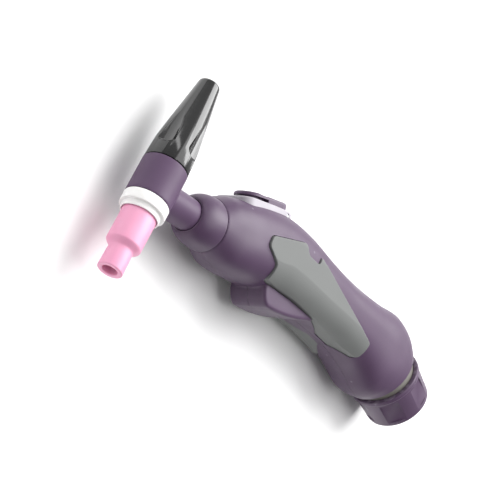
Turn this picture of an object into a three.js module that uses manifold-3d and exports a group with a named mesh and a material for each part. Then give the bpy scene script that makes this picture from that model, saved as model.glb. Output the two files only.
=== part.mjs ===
// Gas tungsten arc (TIG) welding torch: small air-cooled head with ceramic cup and back cap, two-part
// handle with side grips, press switch, and a swivelling cable collar.
//
// Torch axes, millimetres: +X runs rearwards along the handle, +Y along the head axis towards the back cap,
// +Z out of the torch's middle plane.  The torch lies on its side.  Positions are first measured from the
// point where the head axis meets the underside of the head; the last lines move the origin to the centre
// of the footprint on the bench.
import * as THREE from "three";
import { mergeVertices } from "three/addons/utils/BufferGeometryUtils.js";
import Module from "manifold-3d";

const wasm = await Module();
wasm.setup();

// ---- Driving dimensions -------------------------------------------------------------------------------

const gap = 0.3; // clearance between neighbouring pieces
const round = 24; // facets round a turned piece

// Head
const headRadius = 9.6;
const headHeight = 15.6;
const capSeatDepth = 2.4; // counterbore under the back cap
const capSeatRadius = headRadius - 2.4;
const coreRadius = headRadius - 3.4;
const coreBoreRadius = 4.9;

// Neck, leaving the head square to its side and then tilted towards the back cap
const neckTilt = THREE.MathUtils.degToRad(16.4);
const neckHeight = 5.2; // where the neck axis crosses the head axis
const neckRadius = 6.7;
const neckLength = 44; // insulated length from the head axis
const neckTubeRadius = 3.4;
const neckTubeBore = 2.2;
const neckTubeLength = 62;
const coreStubRadius = 4.8;
const coreStubLength = 15;

// Gasket, cup, collet and electrode
const gasketFlange = 4.9;
const gasketBoss = 2.2;
const gasketBossRadius = headRadius - 1.4;
const cupLength = 30;
const cupRadius = 7.25;
const cupMouthRadius = 5.3;
const cupBoreRadius = 3.2; // quarter-inch bore
const cupNozzleLength = 9.5; // straight narrow part at the mouth
const cupShoulder = 3.0; // length of the taper between the two
const cupWaist = 5.0; // outside radius at the top of the nozzle
const cupOverlap = 3.8; // length of the cup inside the gasket
const cupThreadRadius = 5.1;
const cupThreadDepth = 11;
const colletBodyNose = 2.7;
const colletBodyNoseLength = 7;
const colletBodyReach = 5.9; // into the head
const colletRadius = 1.9;
const colletSlit = 0.5;
const electrodeRadius = 0.8;
const electrodeLength = 75;
const electrodeRecess = 9; // tip to cup mouth
const electrodeTaper = 4;

// Back cap
const capLength = 44.2;
const capBaseRadius = headRadius - 0.1;
const capShoulderRadius = headRadius - 0.5; // where the scallops are widest
const capShoulderHeight = 10;
const capMiddleRadius = 7.9;
const capMiddleShare = 0.45; // of the cap's length
const capTopRadius = 4.8;
const capTopRound = 1.6;
const capThreadRadius = coreBoreRadius - gap;
const capThreadReach = 7; // into the head
const capThreadSocket = 9; // into the cap
const capBoreRadius = 2.1;
const capSpigotRadius = capSeatRadius - 1.4; // presses on the seal
const sealRadius = 0.38;
const sealHeight = headHeight - 0.45;
const scallopCount = 4;
const scallopTurn = THREE.MathUtils.degToRad(170); // of the first one, from +X towards +Z
const scallopStart = 6; // above the head
const scallopLength = 21;
const scallopRadius = 7;
const scallopDepth = 2.3;
const scallopFoot = 4.5; // length of its rounded lower end
const scallopTipRadius = 1.5;

// Handle, from the seam behind the nose collar to the rear cup
const handleFront = 34.8; // from the head axis to the seam
const handleLength = 145.6;
const handleHalfWidth = 15.9; // out of the middle plane
// Stations: the share of the length, the height of the centre above the head's underside, the half
// height across it, and the half width as a share of the widest
const handleStations = [
  { share: 0, y: 16.2, tall: 11.3, wide: 0.71 },
  { share: 0.039, y: 18.7, tall: 13.7, wide: 0.8 },
  { share: 0.096, y: 21.7, tall: 15.4, wide: 0.91 },
  { share: 0.187, y: 27.7, tall: 16.4, wide: 1 },
  { share: 0.269, y: 32.7, tall: 16.6, wide: 1 },
  { share: 0.367, y: 35.9, tall: 16.5, wide: 1 },
  { share: 0.475, y: 38.3, tall: 15.4, wide: 1 },
  { share: 0.582, y: 41.0, tall: 14.5, wide: 1 },
  { share: 0.692, y: 43.8, tall: 15.0, wide: 1 },
  { share: 0.802, y: 46.1, tall: 17.2, wide: 1.005 },
  { share: 0.891, y: 47.4, tall: 20.4, wide: 1.025 },
  { share: 0.955, y: 47.8, tall: 20.2, wide: 1.025 },
  { share: 1, y: 47.5, tall: 17.8, wide: 0.995 },
];
const noseTilt = THREE.MathUtils.degToRad(24.3);
const rearTilt = THREE.MathUtils.degToRad(-6.7);
const squareness = 2.6; // exponent of the section, 2 is an ellipse
const handleWall = 2.6;
const handleSections = 17;
const handleFacets = 24;
const hollowFrom = 0.05; // shares of the length that are hollow
const hollowTo = 0.93;

// Nose collar
const noseStart = 23.9; // distance of its front edge along the neck axis
const noseEdge = 0.4; // thickness of its front edge
const noseInnerRadius = neckRadius + gap;
const noseSpigot = 5; // length inside the handle
const noseWall = 2.2;
const noseSeam = handleFront / Math.cos(neckTilt); // along the neck axis

// Finger stop under the handle
const stopShare = 0.314; // of the handle's length, at the tip
const stopDrop = 24.4; // tip below the spine
const stopRise = 18; // front face, from the tip into the handle
const stopLean = 9; // of the front face
const stopSlope = 32; // length of the rear slope
const stopHalfWidth = 9.4;
const stopRound = 1.4;

// Side grips
const gripProud = 1.0; // above the handle's surface
const gripDepth = 1.1; // below it
const gripFlat = handleHalfWidth + 0.7; // the flat the torch lies on, from the middle plane
const gripInner = 2; // from the middle plane
const gripRound = 1.2; // of the outline's corners
// Corners of the outline: the share of the handle's length and the height above its spine
const gripCorners = [
  [0.148, 3.5],
  [0.291, 7.5],
  [0.32, 3.5],
  [0.38, 3.2],
  [0.38, 7.1],
  [0.753, -7.1],
  [0.765, -14.5],
  [0.523, -14.1],
  [0.389, -14.9],
  [0.235, -15.1],
  [0.218, -8],
  [0.152, -1.3],
];

// Switch, on a deck tilted with the handle's top
const deckTilt = THREE.MathUtils.degToRad(26.5);
const deckShare = 0.175; // of the handle's length, at its centre
const deckRise = 16.5; // above the spine
const deckFront = -21.7; // along the deck from its centre
const deckShoulder = -8; // where it starts to narrow
const deckRear = 17;
const deckSide = 3.2; // deck beside the button
const deckFacets = 16;
const deckCorner = 5;
const deckProud = 2.2;
const deckDepth = 8;
const deckWall = 1.6;
const deckBevel = 0.7;
const buttonLength = 29;
const buttonWidth = 12.6;
const buttonHeight = 3.4;
const buttonSetback = 5.8; // its front end from the deck's front end
const buttonSkirt = 3.2;
const buttonBevel = 1.1;
const buttonWall = 1.8;
const buttonHollow = 1.5;
const pinSetback = 4.5; // from the button's rear end
const pinDepth = 2.25; // below the deck
const buttonLipLength = 12; // the front that overhangs as a finger rest
const buttonLipThickness = 1.5;
const buttonLipReach = 2.4;
const thumbDip = 0.4;
const thumbRadius = 16;
const thumbPlace = 9; // from the button's front end
const pinRadius = 1.0;
const pinBoss = 1.1; // wall of the button round the pin
const microLength = 12.8;
const microWidth = 5.8;
const microHeight = 4.4;
const microSetback = 13.2; // from the button's front end
const plungerSetback = 15.8;
const springSetback = 4;
const plungerRadius = 0.9;
const plungerHeight = 0.7; // above the microswitch
const plungerTravel = 0.8;
const springRadius = 1.7;
const springWire = 0.3;
const springTurns = 3;

// Rear knuckle and cable collar, on the rear axis
const ballRadius = handleHalfWidth - 1.3;
const ballHalfLength = ballRadius * 0.65;
const ballBore = ballRadius * 0.59;
const knuckleOffset = 1.4; // pivot behind the handle's last station
const collarGap = 2.7; // collar's front face behind the pivot
const collarLength = 17.5;
const collarFrontRadius = ballRadius + 1.9;
const collarRearRadius = ballRadius + 0.4;
const collarLip = 2.2;
const collarBore = ballBore - 0.6;
const collarGrips = 6;
const recessWidth = 9;
const recessDepth = 0.4;
const recessMargin = 1.4; // from the lip
const sleeveBore = collarBore - 2.4;
const sleeveStart = 3.2; // behind the ball
const sleeveFlange = 1.4;

// Adaptors inside the handle
const adaptorHex = 6.4;
const adaptorLength = 18;
const barbRadius = 3.6;
const barbBore = 1.8;
const barbLength = 16;

// Handle screws, driven from the far side
const screwPlaces = [ // the share of the handle's length, and the height above its spine
  [0.0975, -9.6],
  [0.53, 10.1],
  [0.832, -11.9],
];
const bossRadius = 3.6;
const screwRadius = 1.25;
const screwHeadRadius = 2.4;
const screwHeadHeight = 1.9;
const screwSeat = 8.6; // from the middle plane
const screwReach = 8.5;

// ---- Materials ----------------------------------------------------------------------------------------

function material(color, roughness, metalness = 0) {
  return new THREE.MeshStandardMaterial({ color, roughness, metalness });
}

const purple = material("#4a3650", 0.6);
const greyGrip = material("#808282", 0.75);
const greySwitch = material("#a8a3ac", 0.6);
const blackGloss = material("#0d0d0e", 0.15);
const pinkCeramic = material("#efa5c4", 0.45);
const whiteGasket = material("#f7f7f5", 0.5);
const greyBall = material("#6b6660", 0.5);
const brass = material("#c29a4e", 0.35, 1);
const copper = material("#b8714a", 0.35, 1);
const tungsten = material("#9a9da0", 0.4, 1);
const steel = material("#b4b7ba", 0.35, 1);
const blackRubber = material("#1b1b1c", 0.85);
const blackPlastic = material("#202022", 0.55);
const redPlastic = material("#8e2d2a", 0.5);

// A value part of the way from one to another.
function lerp(from, to, share) {
  return THREE.MathUtils.lerp(from, to, share);
}

// ---- Solids -------------------------------------------------------------------------------------------

// A closed three.js geometry as a manifold solid.
function solid(geometry) {
  const flat = geometry.index ? geometry.toNonIndexed() : geometry.clone();
  flat.deleteAttribute("normal");
  flat.deleteAttribute("uv");
  const merged = mergeVertices(flat, 1e-4);
  return new wasm.Manifold(
    new wasm.Mesh({
      numProp: 3,
      vertProperties: new Float32Array(merged.attributes.position.array),
      triVerts: new Uint32Array(merged.index.array),
    }),
  );
}

function mesh(name, body, look) {
  const made = body.getMesh();
  const geometry = new THREE.BufferGeometry();
  geometry.setAttribute("position", new THREE.BufferAttribute(made.vertProperties, 3));
  geometry.setIndex(new THREE.BufferAttribute(made.triVerts, 1));
  geometry.computeVertexNormals();
  const piece = new THREE.Mesh(geometry, look);
  piece.name = name;
  return piece;
}

// Turned solid about the Y axis from [radius, height] pairs, listed upwards.
function turned(profile, facets = round) {
  const points = profile.map(([radius, height]) => new THREE.Vector2(radius, height));
  return new THREE.LatheGeometry(points, facets);
}

// Ring-shaped turned solid: the profile closes on itself.
function ring(profile, facets = round) {
  return turned([...profile, profile[0]], facets);
}

function rod(radius, from, to, facets = round) {
  return turned([[0, from], [radius, from], [radius, to], [0, to]], facets);
}

function tube(outer, inner, from, to, facets = round) {
  return ring([[inner, from], [outer, from], [outer, to], [inner, to]], facets);
}

// Frame whose local Y axis leans from +Y by the given angle towards +X's far side, at a point.
function frameAt(x, y, angle) {
  return new THREE.Matrix4().makeTranslation(x, y, 0)
    .multiply(new THREE.Matrix4().makeRotationZ(angle));
}

// Axes that run along the handle: local +Y points along the direction at the given tilt from +X.
function along(x, y, tilt) {
  return frameAt(x, y, tilt - Math.PI / 2);
}

function placed(geometry, matrix) {
  return solid(geometry.clone().applyMatrix4(matrix));
}

const neckFrame = along(0, neckHeight, neckTilt);

// Geometry laid across the handle at a point of the middle plane, its local +Y towards the far side (-Z).
function acrossZ(geometry, x, y) {
  const turn = new THREE.Matrix4().makeRotationX(-Math.PI / 2);
  return solid(geometry.clone().applyMatrix4(new THREE.Matrix4().makeTranslation(x, y, 0).multiply(turn)));
}

// ---- Head ---------------------------------------------------------------------------------------------

const cupTop = -gasketFlange - gasketBoss + cupOverlap;
const cupMouth = cupTop - cupLength;

function headInsulator() {
  const outside = solid(rod(headRadius, 0, headHeight, 28))
    .add(placed(rod(neckRadius, coreRadius, neckLength), neckFrame))
    .subtract(solid(rod(headRadius, -headRadius, 0, 8)))
    .subtract(solid(rod(capBaseRadius + gap, headHeight, headHeight + neckRadius)));
  const hollow = solid(rod(coreRadius + gap, -1, headHeight - capSeatDepth))
    .add(solid(rod(capSeatRadius, headHeight - capSeatDepth, headHeight + 1)))
    .add(placed(rod(coreStubRadius + gap, 0, coreStubLength + gap), neckFrame))
    .add(placed(rod(neckTubeRadius + gap, 0, neckLength + 1), neckFrame));
  return mesh("head_insulator", outside.subtract(hollow), purple);
}

function headCore() {
  const top = headHeight - capSeatDepth - gap;
  const body = solid(rod(coreRadius, gap, top))
    .add(placed(rod(coreStubRadius, 0, coreStubLength), neckFrame))
    .subtract(solid(rod(coreBoreRadius, gap - 1, top + 1)))
    .subtract(placed(rod(neckTubeRadius + gap, coreRadius - 0.5, coreStubLength + 1), neckFrame));
  return mesh("torch_head_core", body, brass);
}

function neckTube() {
  const from = coreRadius + gap;
  const body = placed(tube(neckTubeRadius, neckTubeBore, from, neckTubeLength, 24), neckFrame);
  return mesh("neck_tube", body, copper);
}

function cupGasket() {
  const bore = cupThreadRadius + gap;
  const boss = cupRadius + gap;
  const body = ring([
    [bore, cupTop + gap],
    [boss, cupTop + gap],
    [boss, -gasketFlange - gasketBoss],
    [gasketBossRadius, -gasketFlange - gasketBoss],
    [gasketBossRadius, -gasketFlange - gap],
    [headRadius - 0.5, -gasketFlange - gap],
    [headRadius, -gasketFlange],
    [headRadius, -0.5 - gap],
    [headRadius - 0.2, -gap],
    [bore, -gap],
  ], 28);
  return mesh("cup_gasket", solid(body), whiteGasket);
}

function ceramicCup() {
  const shoulderFrom = cupMouth + cupNozzleLength;
  const threadFrom = cupTop - cupThreadDepth;
  const body = ring([
    [cupBoreRadius, cupMouth],
    [cupMouthRadius - 0.4, cupMouth],
    [cupMouthRadius, cupMouth + 0.4],
    [cupWaist, shoulderFrom],
    [lerp(cupWaist, cupRadius, 0.2), shoulderFrom + cupShoulder * 0.3],
    [lerp(cupWaist, cupRadius, 0.8), shoulderFrom + cupShoulder * 0.7],
    [cupRadius, shoulderFrom + cupShoulder],
    [cupRadius, cupTop - 0.3],
    [cupRadius - 0.3, cupTop],
    [cupThreadRadius, cupTop],
    [cupThreadRadius, threadFrom],
    [cupBoreRadius, threadFrom - 3],
  ], 24);
  return mesh("ceramic_cup", solid(body), pinkCeramic);
}

function colletBody() {
  const thread = cupThreadRadius - gap;
  const foot = cupTop - cupThreadDepth + 1;
  const nose = foot - colletBodyNoseLength;
  const bore = colletRadius + gap;
  let body = solid(ring([
    [electrodeRadius + gap, nose],
    [colletBodyNose - 0.6, nose],
    [colletBodyNose, nose + 0.8],
    [colletBodyNose, foot - 1.2],
    [thread, foot],
    [thread, -gap],
    [coreBoreRadius - gap, -gap],
    [coreBoreRadius - gap, colletBodyReach],
    [bore, colletBodyReach],
    [bore, nose + 3],
    [electrodeRadius + gap, nose + 2],
  ]));
  for (let port = 0; port < 2; port += 1) {
    const turn = new THREE.Matrix4().makeRotationY((port * Math.PI) / 2)
      .multiply(new THREE.Matrix4().makeTranslation(0, nose + 4.4, 0))
      .multiply(new THREE.Matrix4().makeRotationX(Math.PI / 2));
    body = body.subtract(placed(rod(0.8, -cupRadius, cupRadius, 8), turn));
  }
  return mesh("collet_body", body, brass);
}

function collet() {
  const foot = cupTop - cupThreadDepth + 1 - colletBodyNoseLength + 3 + gap;
  const top = colletBodyReach + 0.6;
  const slit = new THREE.BoxGeometry(colletSlit, 9, 4 * colletRadius).translate(0, foot + 4, 0);
  const body = solid(ring([
    [electrodeRadius + 0.2, foot],
    [colletRadius - 0.4, foot],
    [colletRadius, foot + 0.8],
    [colletRadius, top],
    [electrodeRadius + 0.2, top],
  ], 24)).subtract(solid(slit));
  return mesh("collet", body, copper);
}

function electrode() {
  const tip = cupMouth + electrodeRecess;
  const body = turned([
    [0, tip],
    [0.12, tip],
    [electrodeRadius, tip + electrodeTaper],
    [electrodeRadius, tip + electrodeLength - 0.2],
    [electrodeRadius - 0.2, tip + electrodeLength],
    [0, tip + electrodeLength],
  ], 16);
  return mesh("tungsten_electrode", solid(body), tungsten);
}

// ---- Back cap -----------------------------------------------------------------------------------------

// Outside radius of the plain cap at a height, above its shoulder.
function capRadiusAt(height) {
  const middle = headHeight + gap + capLength * capMiddleShare;
  const shoulder = headHeight + gap + capShoulderHeight;
  if (height < middle) {
    return lerp(capShoulderRadius, capMiddleRadius, (height - shoulder) / (middle - shoulder));
  }
  const top = headHeight + capLength - capTopRound;
  return lerp(capMiddleRadius, capTopRadius, (height - middle) / (top - middle));
}

function backCap() {
  const base = headHeight + gap;
  const top = headHeight + capLength;
  const socket = base + capThreadSocket;
  let body = solid(turned([
    [0, socket + gap],
    [capThreadRadius + gap, socket + gap],
    [capThreadRadius + gap, base - 1],
    [capSpigotRadius, base - 1],
    [capSpigotRadius, base],
    [capBaseRadius - 0.5, base],
    [capBaseRadius, base + 0.5],
    [capShoulderRadius, base + capShoulderHeight],
    [capMiddleRadius, base + capLength * capMiddleShare],
    [capTopRadius, top - capTopRound],
    [capTopRadius - capTopRound * 0.3, top - capTopRound * 0.3],
    [capTopRadius - capTopRound, top],
    [0, top],
  ], 32));
  body = body.subtract(solid(rod(capBoreRadius, socket, top - 3, 20)));
  // Each scallop is a tapered scoop that leans out of the cap towards its tip.
  const low = headHeight + scallopStart;
  const footReach = capRadiusAt(low + scallopFoot) - scallopDepth + scallopRadius;
  const tipReach = capRadiusAt(low + scallopLength) + scallopTipRadius;
  const lean = Math.atan2(footReach - tipReach, scallopLength - scallopFoot);
  const scoop = turned([
    [0, 0],
    [scallopRadius * 0.5, scallopFoot * 0.13],
    [scallopRadius * 0.87, scallopFoot * 0.5],
    [scallopRadius, scallopFoot],
    [scallopTipRadius, scallopLength],
    [0, scallopLength],
  ], 20);
  for (let index = 0; index < scallopCount; index += 1) {
    const turn = new THREE.Matrix4().makeRotationY(-scallopTurn - (index * 2 * Math.PI) / scallopCount)
      .multiply(new THREE.Matrix4().makeTranslation(footReach, low + scallopFoot, 0))
      .multiply(new THREE.Matrix4().makeRotationZ(lean))
      .multiply(new THREE.Matrix4().makeTranslation(0, -scallopFoot, 0));
    body = body.subtract(placed(scoop, turn));
  }
  return mesh("back_cap", body, blackGloss);
}

function capThread() {
  const from = headHeight - capThreadReach;
  const to = headHeight + gap + capThreadSocket;
  return mesh("back_cap_thread", solid(tube(capThreadRadius, electrodeRadius + gap, from, to)), brass);
}

function capSeal() {
  const centre = (capSpigotRadius + capSeatRadius) / 2;
  const profile = [];
  for (let step = 0; step < 8; step += 1) {
    const angle = (step * Math.PI) / 4;
    profile.push([centre + sealRadius * Math.cos(angle), sealHeight + sealRadius * Math.sin(angle)]);
  }
  return mesh("back_cap_o_ring", solid(ring(profile)), blackRubber);
}

// ---- Handle -------------------------------------------------------------------------------------------

function alongHandle(share) {
  return handleFront + share * handleLength;
}

// A point of the middle plane: the share of the handle's length, and the height above its spine.
function onHandle(share, rise) {
  const after = handleStations.findIndex((station) => station.share >= share);
  const [low, high] = [handleStations[after - 1], handleStations[after]];
  const y = lerp(low.y, high.y, (share - low.share) / (high.share - low.share));
  return [alongHandle(share), y + rise];
}

const spine = new THREE.CatmullRomCurve3(
  handleStations.map(({ share, y }) => new THREE.Vector3(alongHandle(share), y, 0)), false, "centripetal");
const girth = new THREE.CatmullRomCurve3(
  handleStations.map(({ share, tall, wide }) => {
    return new THREE.Vector3(alongHandle(share), tall, wide * handleHalfWidth);
  }), false, "centripetal");

// One section of the handle, a rounded rectangle square to the spine, grown or shrunk by an offset.
function handleSection(share, offset) {
  const centre = spine.getPoint(share);
  const size = girth.getPoint(share);
  const ahead = spine.getTangent(share);
  let tilt = Math.atan2(ahead.y, ahead.x);
  const frontBlend = Math.max(0, 1 - share * 8);
  const rearBlend = Math.max(0, 1 - (1 - share) * 6);
  tilt = lerp(tilt, noseTilt, frontBlend);
  tilt = lerp(tilt, rearTilt, rearBlend);
  const power = 2 / lerp(squareness, 2, Math.max(frontBlend, rearBlend));
  const points = [];
  for (let facet = 0; facet < handleFacets; facet += 1) {
    const angle = (facet * 2 * Math.PI) / handleFacets;
    const rise = (size.y + offset) * Math.sign(Math.sin(angle)) * Math.abs(Math.sin(angle)) ** power;
    const side = (size.z + offset) * Math.sign(Math.cos(angle)) * Math.abs(Math.cos(angle)) ** power;
    points.push(new THREE.Vector3(
      centre.x - rise * Math.sin(tilt), centre.y + rise * Math.cos(tilt), side));
  }
  return { points, centre };
}

// Closed loft between two shares of the spine.
function handleLoft(offset, from = 0, to = 1) {
  const rings = [];
  for (let step = 0; step <= handleSections; step += 1) {
    rings.push(handleSection(lerp(from, to, step / handleSections), offset));
  }
  const positions = rings.flatMap(({ points }) => points.flatMap((point) => point.toArray()));
  const index = [];
  for (let row = 0; row < rings.length - 1; row += 1) {
    for (let facet = 0; facet < handleFacets; facet += 1) {
      const next = (facet + 1) % handleFacets;
      const a = row * handleFacets + facet;
      const b = row * handleFacets + next;
      const c = a + handleFacets;
      const d = b + handleFacets;
      index.push(a, b, c, b, d, c);
    }
  }
  const first = positions.length / 3;
  positions.push(...rings[0].centre.toArray(), ...rings.at(-1).centre.toArray());
  const last = (rings.length - 1) * handleFacets;
  for (let facet = 0; facet < handleFacets; facet += 1) {
    const next = (facet + 1) % handleFacets;
    index.push(first, next, facet);
    index.push(first + 1, last + facet, last + next);
  }
  const geometry = new THREE.BufferGeometry();
  geometry.setAttribute("position", new THREE.Float32BufferAttribute(positions, 3));
  geometry.setIndex(index);
  const body = solid(geometry);
  return body.volume() > 0 ? body : solid(flipped(geometry));
}

function flipped(geometry) {
  const copy = geometry.clone();
  copy.setIndex([...geometry.index.array].reverse());
  return copy;
}

// Blade under the front of the handle that stops the fingers sliding forwards.
function fingerStop() {
  const [tipX, tipY] = onHandle(stopShare, -stopDrop);
  const outline = new THREE.Shape();
  outline.moveTo(tipX - stopLean, tipY + stopRise);
  outline.lineTo(tipX - stopLean * 0.72, tipY + stopRise * 0.28);
  outline.quadraticCurveTo(tipX - stopLean * 0.39, tipY, tipX, tipY);
  outline.lineTo(tipX + stopSlope * 0.12, tipY + stopRise * 0.07);
  outline.quadraticCurveTo(
    tipX + stopSlope * 0.56, tipY + stopRise / 3, tipX + stopSlope, tipY + stopRise * 0.92);
  outline.lineTo(tipX + stopSlope * 0.81, tipY + stopRise * 1.34);
  outline.closePath();
  const blade = new THREE.ExtrudeGeometry(outline, {
    depth: 2 * (stopHalfWidth - stopRound),
    bevelEnabled: true,
    bevelThickness: stopRound,
    bevelSize: stopRound,
    bevelOffset: -stopRound,
    bevelSegments: 3,
    curveSegments: 6,
  });
  return solid(blade.translate(0, 0, -(stopHalfWidth - stopRound)));
}

// Prism of a side grip's outline with rounded corners, grown by a margin, standing on the middle plane.
function gripPrism(margin) {
  const corners = gripCorners.map(([share, rise]) => onHandle(share, rise)).reverse();
  const outline = new wasm.CrossSection([corners])
    .offset(gripRound, "Round", 2, 20)
    .offset(-2 * gripRound, "Round", 2, 20)
    .offset(gripRound + margin, "Round", 2, 20);
  return outline.extrude(2 * handleHalfWidth).translate([0, 0, gripInner]);
}

// Upper half space beyond a height out of the middle plane, on one side of it.
function beyond(side, from) {
  const size = 4 * handleLength;
  const block = new THREE.BoxGeometry(size, size, size);
  return solid(block.translate(0, 0, side * (from + size / 2)));
}

function mirrored(body, side) {
  return side > 0 ? body : body.mirror([0, 0, 1]);
}

function sideGrip(name, side) {
  const band = handleLoft(gripProud).subtract(handleLoft(-gripDepth));
  const body = band.intersect(gripPrism(0)).subtract(beyond(1, gripFlat));
  return mesh(name, mirrored(body, side), greyGrip);
}

const deckFrame = frameAt(...onHandle(deckShare, deckRise), deckTilt);

function onDeck(geometry) {
  return placed(geometry, deckFrame);
}

// Pin-like rod along Z at a place on the deck.
function crossRod(radius, halfLength, u, v, facets = 16) {
  const laid = rod(radius, -halfLength, halfLength, facets).rotateX(Math.PI / 2).translate(u, v, 0);
  return onDeck(laid);
}

// Stadium outline prism on the switch deck, local X along the handle and local Y out of it.
function stadium(length, width, from, to, shift = 0, bevel = 0) {
  const radius = width / 2;
  const reach = length / 2 - radius;
  const outline = new THREE.Shape();
  outline.moveTo(-reach, -radius);
  outline.lineTo(reach, -radius);
  outline.absarc(reach, 0, radius, -Math.PI / 2, Math.PI / 2, false);
  outline.lineTo(-reach, radius);
  outline.absarc(-reach, 0, radius, Math.PI / 2, (3 * Math.PI) / 2, false);
  const prism = new THREE.ExtrudeGeometry(outline, {
    depth: to - from - 2 * bevel,
    bevelEnabled: bevel > 0,
    bevelThickness: bevel,
    bevelSize: bevel,
    bevelOffset: -bevel,
    bevelSegments: 2,
    curveSegments: 6,
  });
  return prism.rotateX(-Math.PI / 2).translate(shift, from + bevel, 0);
}

// Prism of the switch deck's outline, grown by a margin: square to the front, narrowing to the rear.
function deckPrism(margin, from, to, bevel = 0) {
  const side = buttonWidth / 2 + deckSide + margin;
  const corner = deckCorner + margin;
  const front = deckFront - margin + corner;
  const outline = new THREE.Shape();
  for (let index = 0; index <= deckFacets; index += 1) {
    const angle = (index / deckFacets - 0.5) * Math.PI;
    const reach = (deckRear - deckShoulder + margin) * Math.cos(angle) ** (2 / squareness);
    const across = side * Math.sign(angle) * Math.abs(Math.sin(angle)) ** (2 / squareness);
    if (index === 0) outline.moveTo(deckShoulder, -side);
    else if (index === deckFacets) outline.lineTo(deckShoulder, side);
    else outline.lineTo(deckShoulder + reach, across);
  }
  outline.absarc(front, side - corner, corner, Math.PI / 2, Math.PI, false);
  outline.absarc(front, corner - side, corner, Math.PI, (3 * Math.PI) / 2, false);
  outline.closePath();
  const prism = new THREE.ExtrudeGeometry(outline, {
    depth: to - from - 2 * bevel,
    bevelEnabled: bevel > 0,
    bevelThickness: bevel,
    bevelSize: bevel,
    bevelOffset: -bevel,
    bevelSegments: 2,
    curveSegments: 8,
  });
  return prism.rotateX(-Math.PI / 2).translate(0, from + bevel, 0);
}

const [rearX, rearY] = onHandle(1, 0);
const knuckle = [rearX + knuckleOffset * Math.cos(rearTilt), rearY + knuckleOffset * Math.sin(rearTilt)];
const rearFrame = along(...knuckle, rearTilt);

function ballSpace(radius) {
  return placed(new THREE.SphereGeometry(radius, 28, 16), rearFrame);
}

// Both handle halves in one, before they are parted along the middle plane.
function handleBody() {
  const outside = handleLoft(0).add(fingerStop());
  const seats = gripPrism(gap).subtract(handleLoft(-gripDepth - gap));
  let hollow = handleLoft(-handleWall, hollowFrom, hollowTo);
  const boss = rod(bossRadius, -2 * handleHalfWidth, 2 * handleHalfWidth, 20);
  for (const place of screwPlaces) {
    hollow = hollow.subtract(acrossZ(boss, ...onHandle(...place)));
  }
  let body = outside.subtract(hollow);
  body = body.subtract(seats).subtract(seats.mirror([0, 0, 1]));
  body = body.subtract(onDeck(deckPrism(gap, -deckDepth - gap, deckDepth)));
  const noseBore = [noseInnerRadius + noseWall + gap, noseStart, noseSeam + noseSpigot + 4];
  body = body.subtract(placed(rod(...noseBore), neckFrame));
  body = body.subtract(placed(rod(neckRadius + gap, noseStart, neckLength + gap), neckFrame));
  body = body.subtract(placed(rod(neckTubeRadius + gap, noseStart, neckTubeLength), neckFrame));
  body = body.subtract(ballSpace(ballRadius + gap));
  body = body.subtract(placed(rod(ballBore, -ballRadius - 2, 0), rearFrame));
  const screwHole = rod(screwRadius + gap, -screwReach - 1, screwSeat + 1, 16);
  const headHole = rod(screwHeadRadius + gap, screwSeat, 2 * handleHalfWidth, 20);
  for (const place of screwPlaces) {
    body = body.subtract(acrossZ(screwHole, ...onHandle(...place)));
    body = body.subtract(acrossZ(headHole, ...onHandle(...place)));
  }
  return body;
}

// Tapered collar at the front of the handle, round the insulated neck.
function noseCollar() {
  const seamRadius = handleStations[0].tall;
  const seamX = handleFront - gap * Math.cos(noseTilt);
  const seamY = handleStations[0].y - gap * Math.sin(noseTilt);
  const front = new THREE.Vector3(0, noseStart, 0).applyMatrix4(neckFrame);
  const facets = handleFacets;
  const noseFrontRadius = noseInnerRadius + noseEdge;
  const stops = [
    { share: 0, radius: noseFrontRadius },
    { share: 0.12, radius: lerp(noseFrontRadius, seamRadius, 0.38) },
    { share: 0.4, radius: lerp(noseFrontRadius, seamRadius, 0.74) },
    { share: 1, radius: seamRadius },
  ];
  const positions = [];
  for (const { share, radius } of stops) {
    const x = lerp(front.x, seamX, share);
    const y = lerp(front.y, seamY, share);
    const tilt = lerp(neckTilt, noseTilt, share);
    for (let facet = 0; facet < facets; facet += 1) {
      const angle = (facet * 2 * Math.PI) / facets;
      const rise = radius * Math.sin(angle);
      positions.push(x - rise * Math.sin(tilt), y + rise * Math.cos(tilt), radius * Math.cos(angle));
    }
  }
  const index = [];
  for (let row = 0; row < stops.length - 1; row += 1) {
    for (let facet = 0; facet < facets; facet += 1) {
      const next = (facet + 1) % facets;
      const a = row * facets + facet;
      const b = row * facets + next;
      index.push(a, b, a + facets, b, b + facets, a + facets);
    }
  }
  const last = (stops.length - 1) * facets;
  for (let facet = 1; facet < facets - 1; facet += 1) {
    index.push(0, facet + 1, facet);
    index.push(last, last + facet, last + facet + 1);
  }
  const geometry = new THREE.BufferGeometry();
  geometry.setAttribute("position", new THREE.Float32BufferAttribute(positions, 3));
  geometry.setIndex(index);
  let body = solid(geometry);
  if (body.volume() < 0) body = solid(flipped(geometry));
  const spigotRadius = noseInnerRadius + noseWall;
  body = body.add(placed(rod(spigotRadius, noseSeam - 6, noseSeam + noseSpigot), neckFrame));
  body = body.subtract(placed(rod(noseInnerRadius, 0, noseSeam + noseSpigot + 10), neckFrame));
  return mesh("nose_collar", body, purple);
}

function handleShell(name, whole, side) {
  return mesh(name, whole.intersect(beyond(side, gap / 2)), purple);
}

// ---- Switch -------------------------------------------------------------------------------------------

const buttonFront = deckFront + buttonSetback;
const buttonMiddle = buttonFront + buttonLength / 2;
const buttonLipFoot = deckProud + 0.2;
const pinAt = { u: buttonFront + buttonLength - pinSetback, v: deckProud - pinDepth };
const microAt = buttonFront + microSetback;
const microFloor = -deckDepth + deckWall + gap;
const plungerAt = buttonFront + plungerSetback;
const springAt = buttonFront + springSetback;

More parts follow.
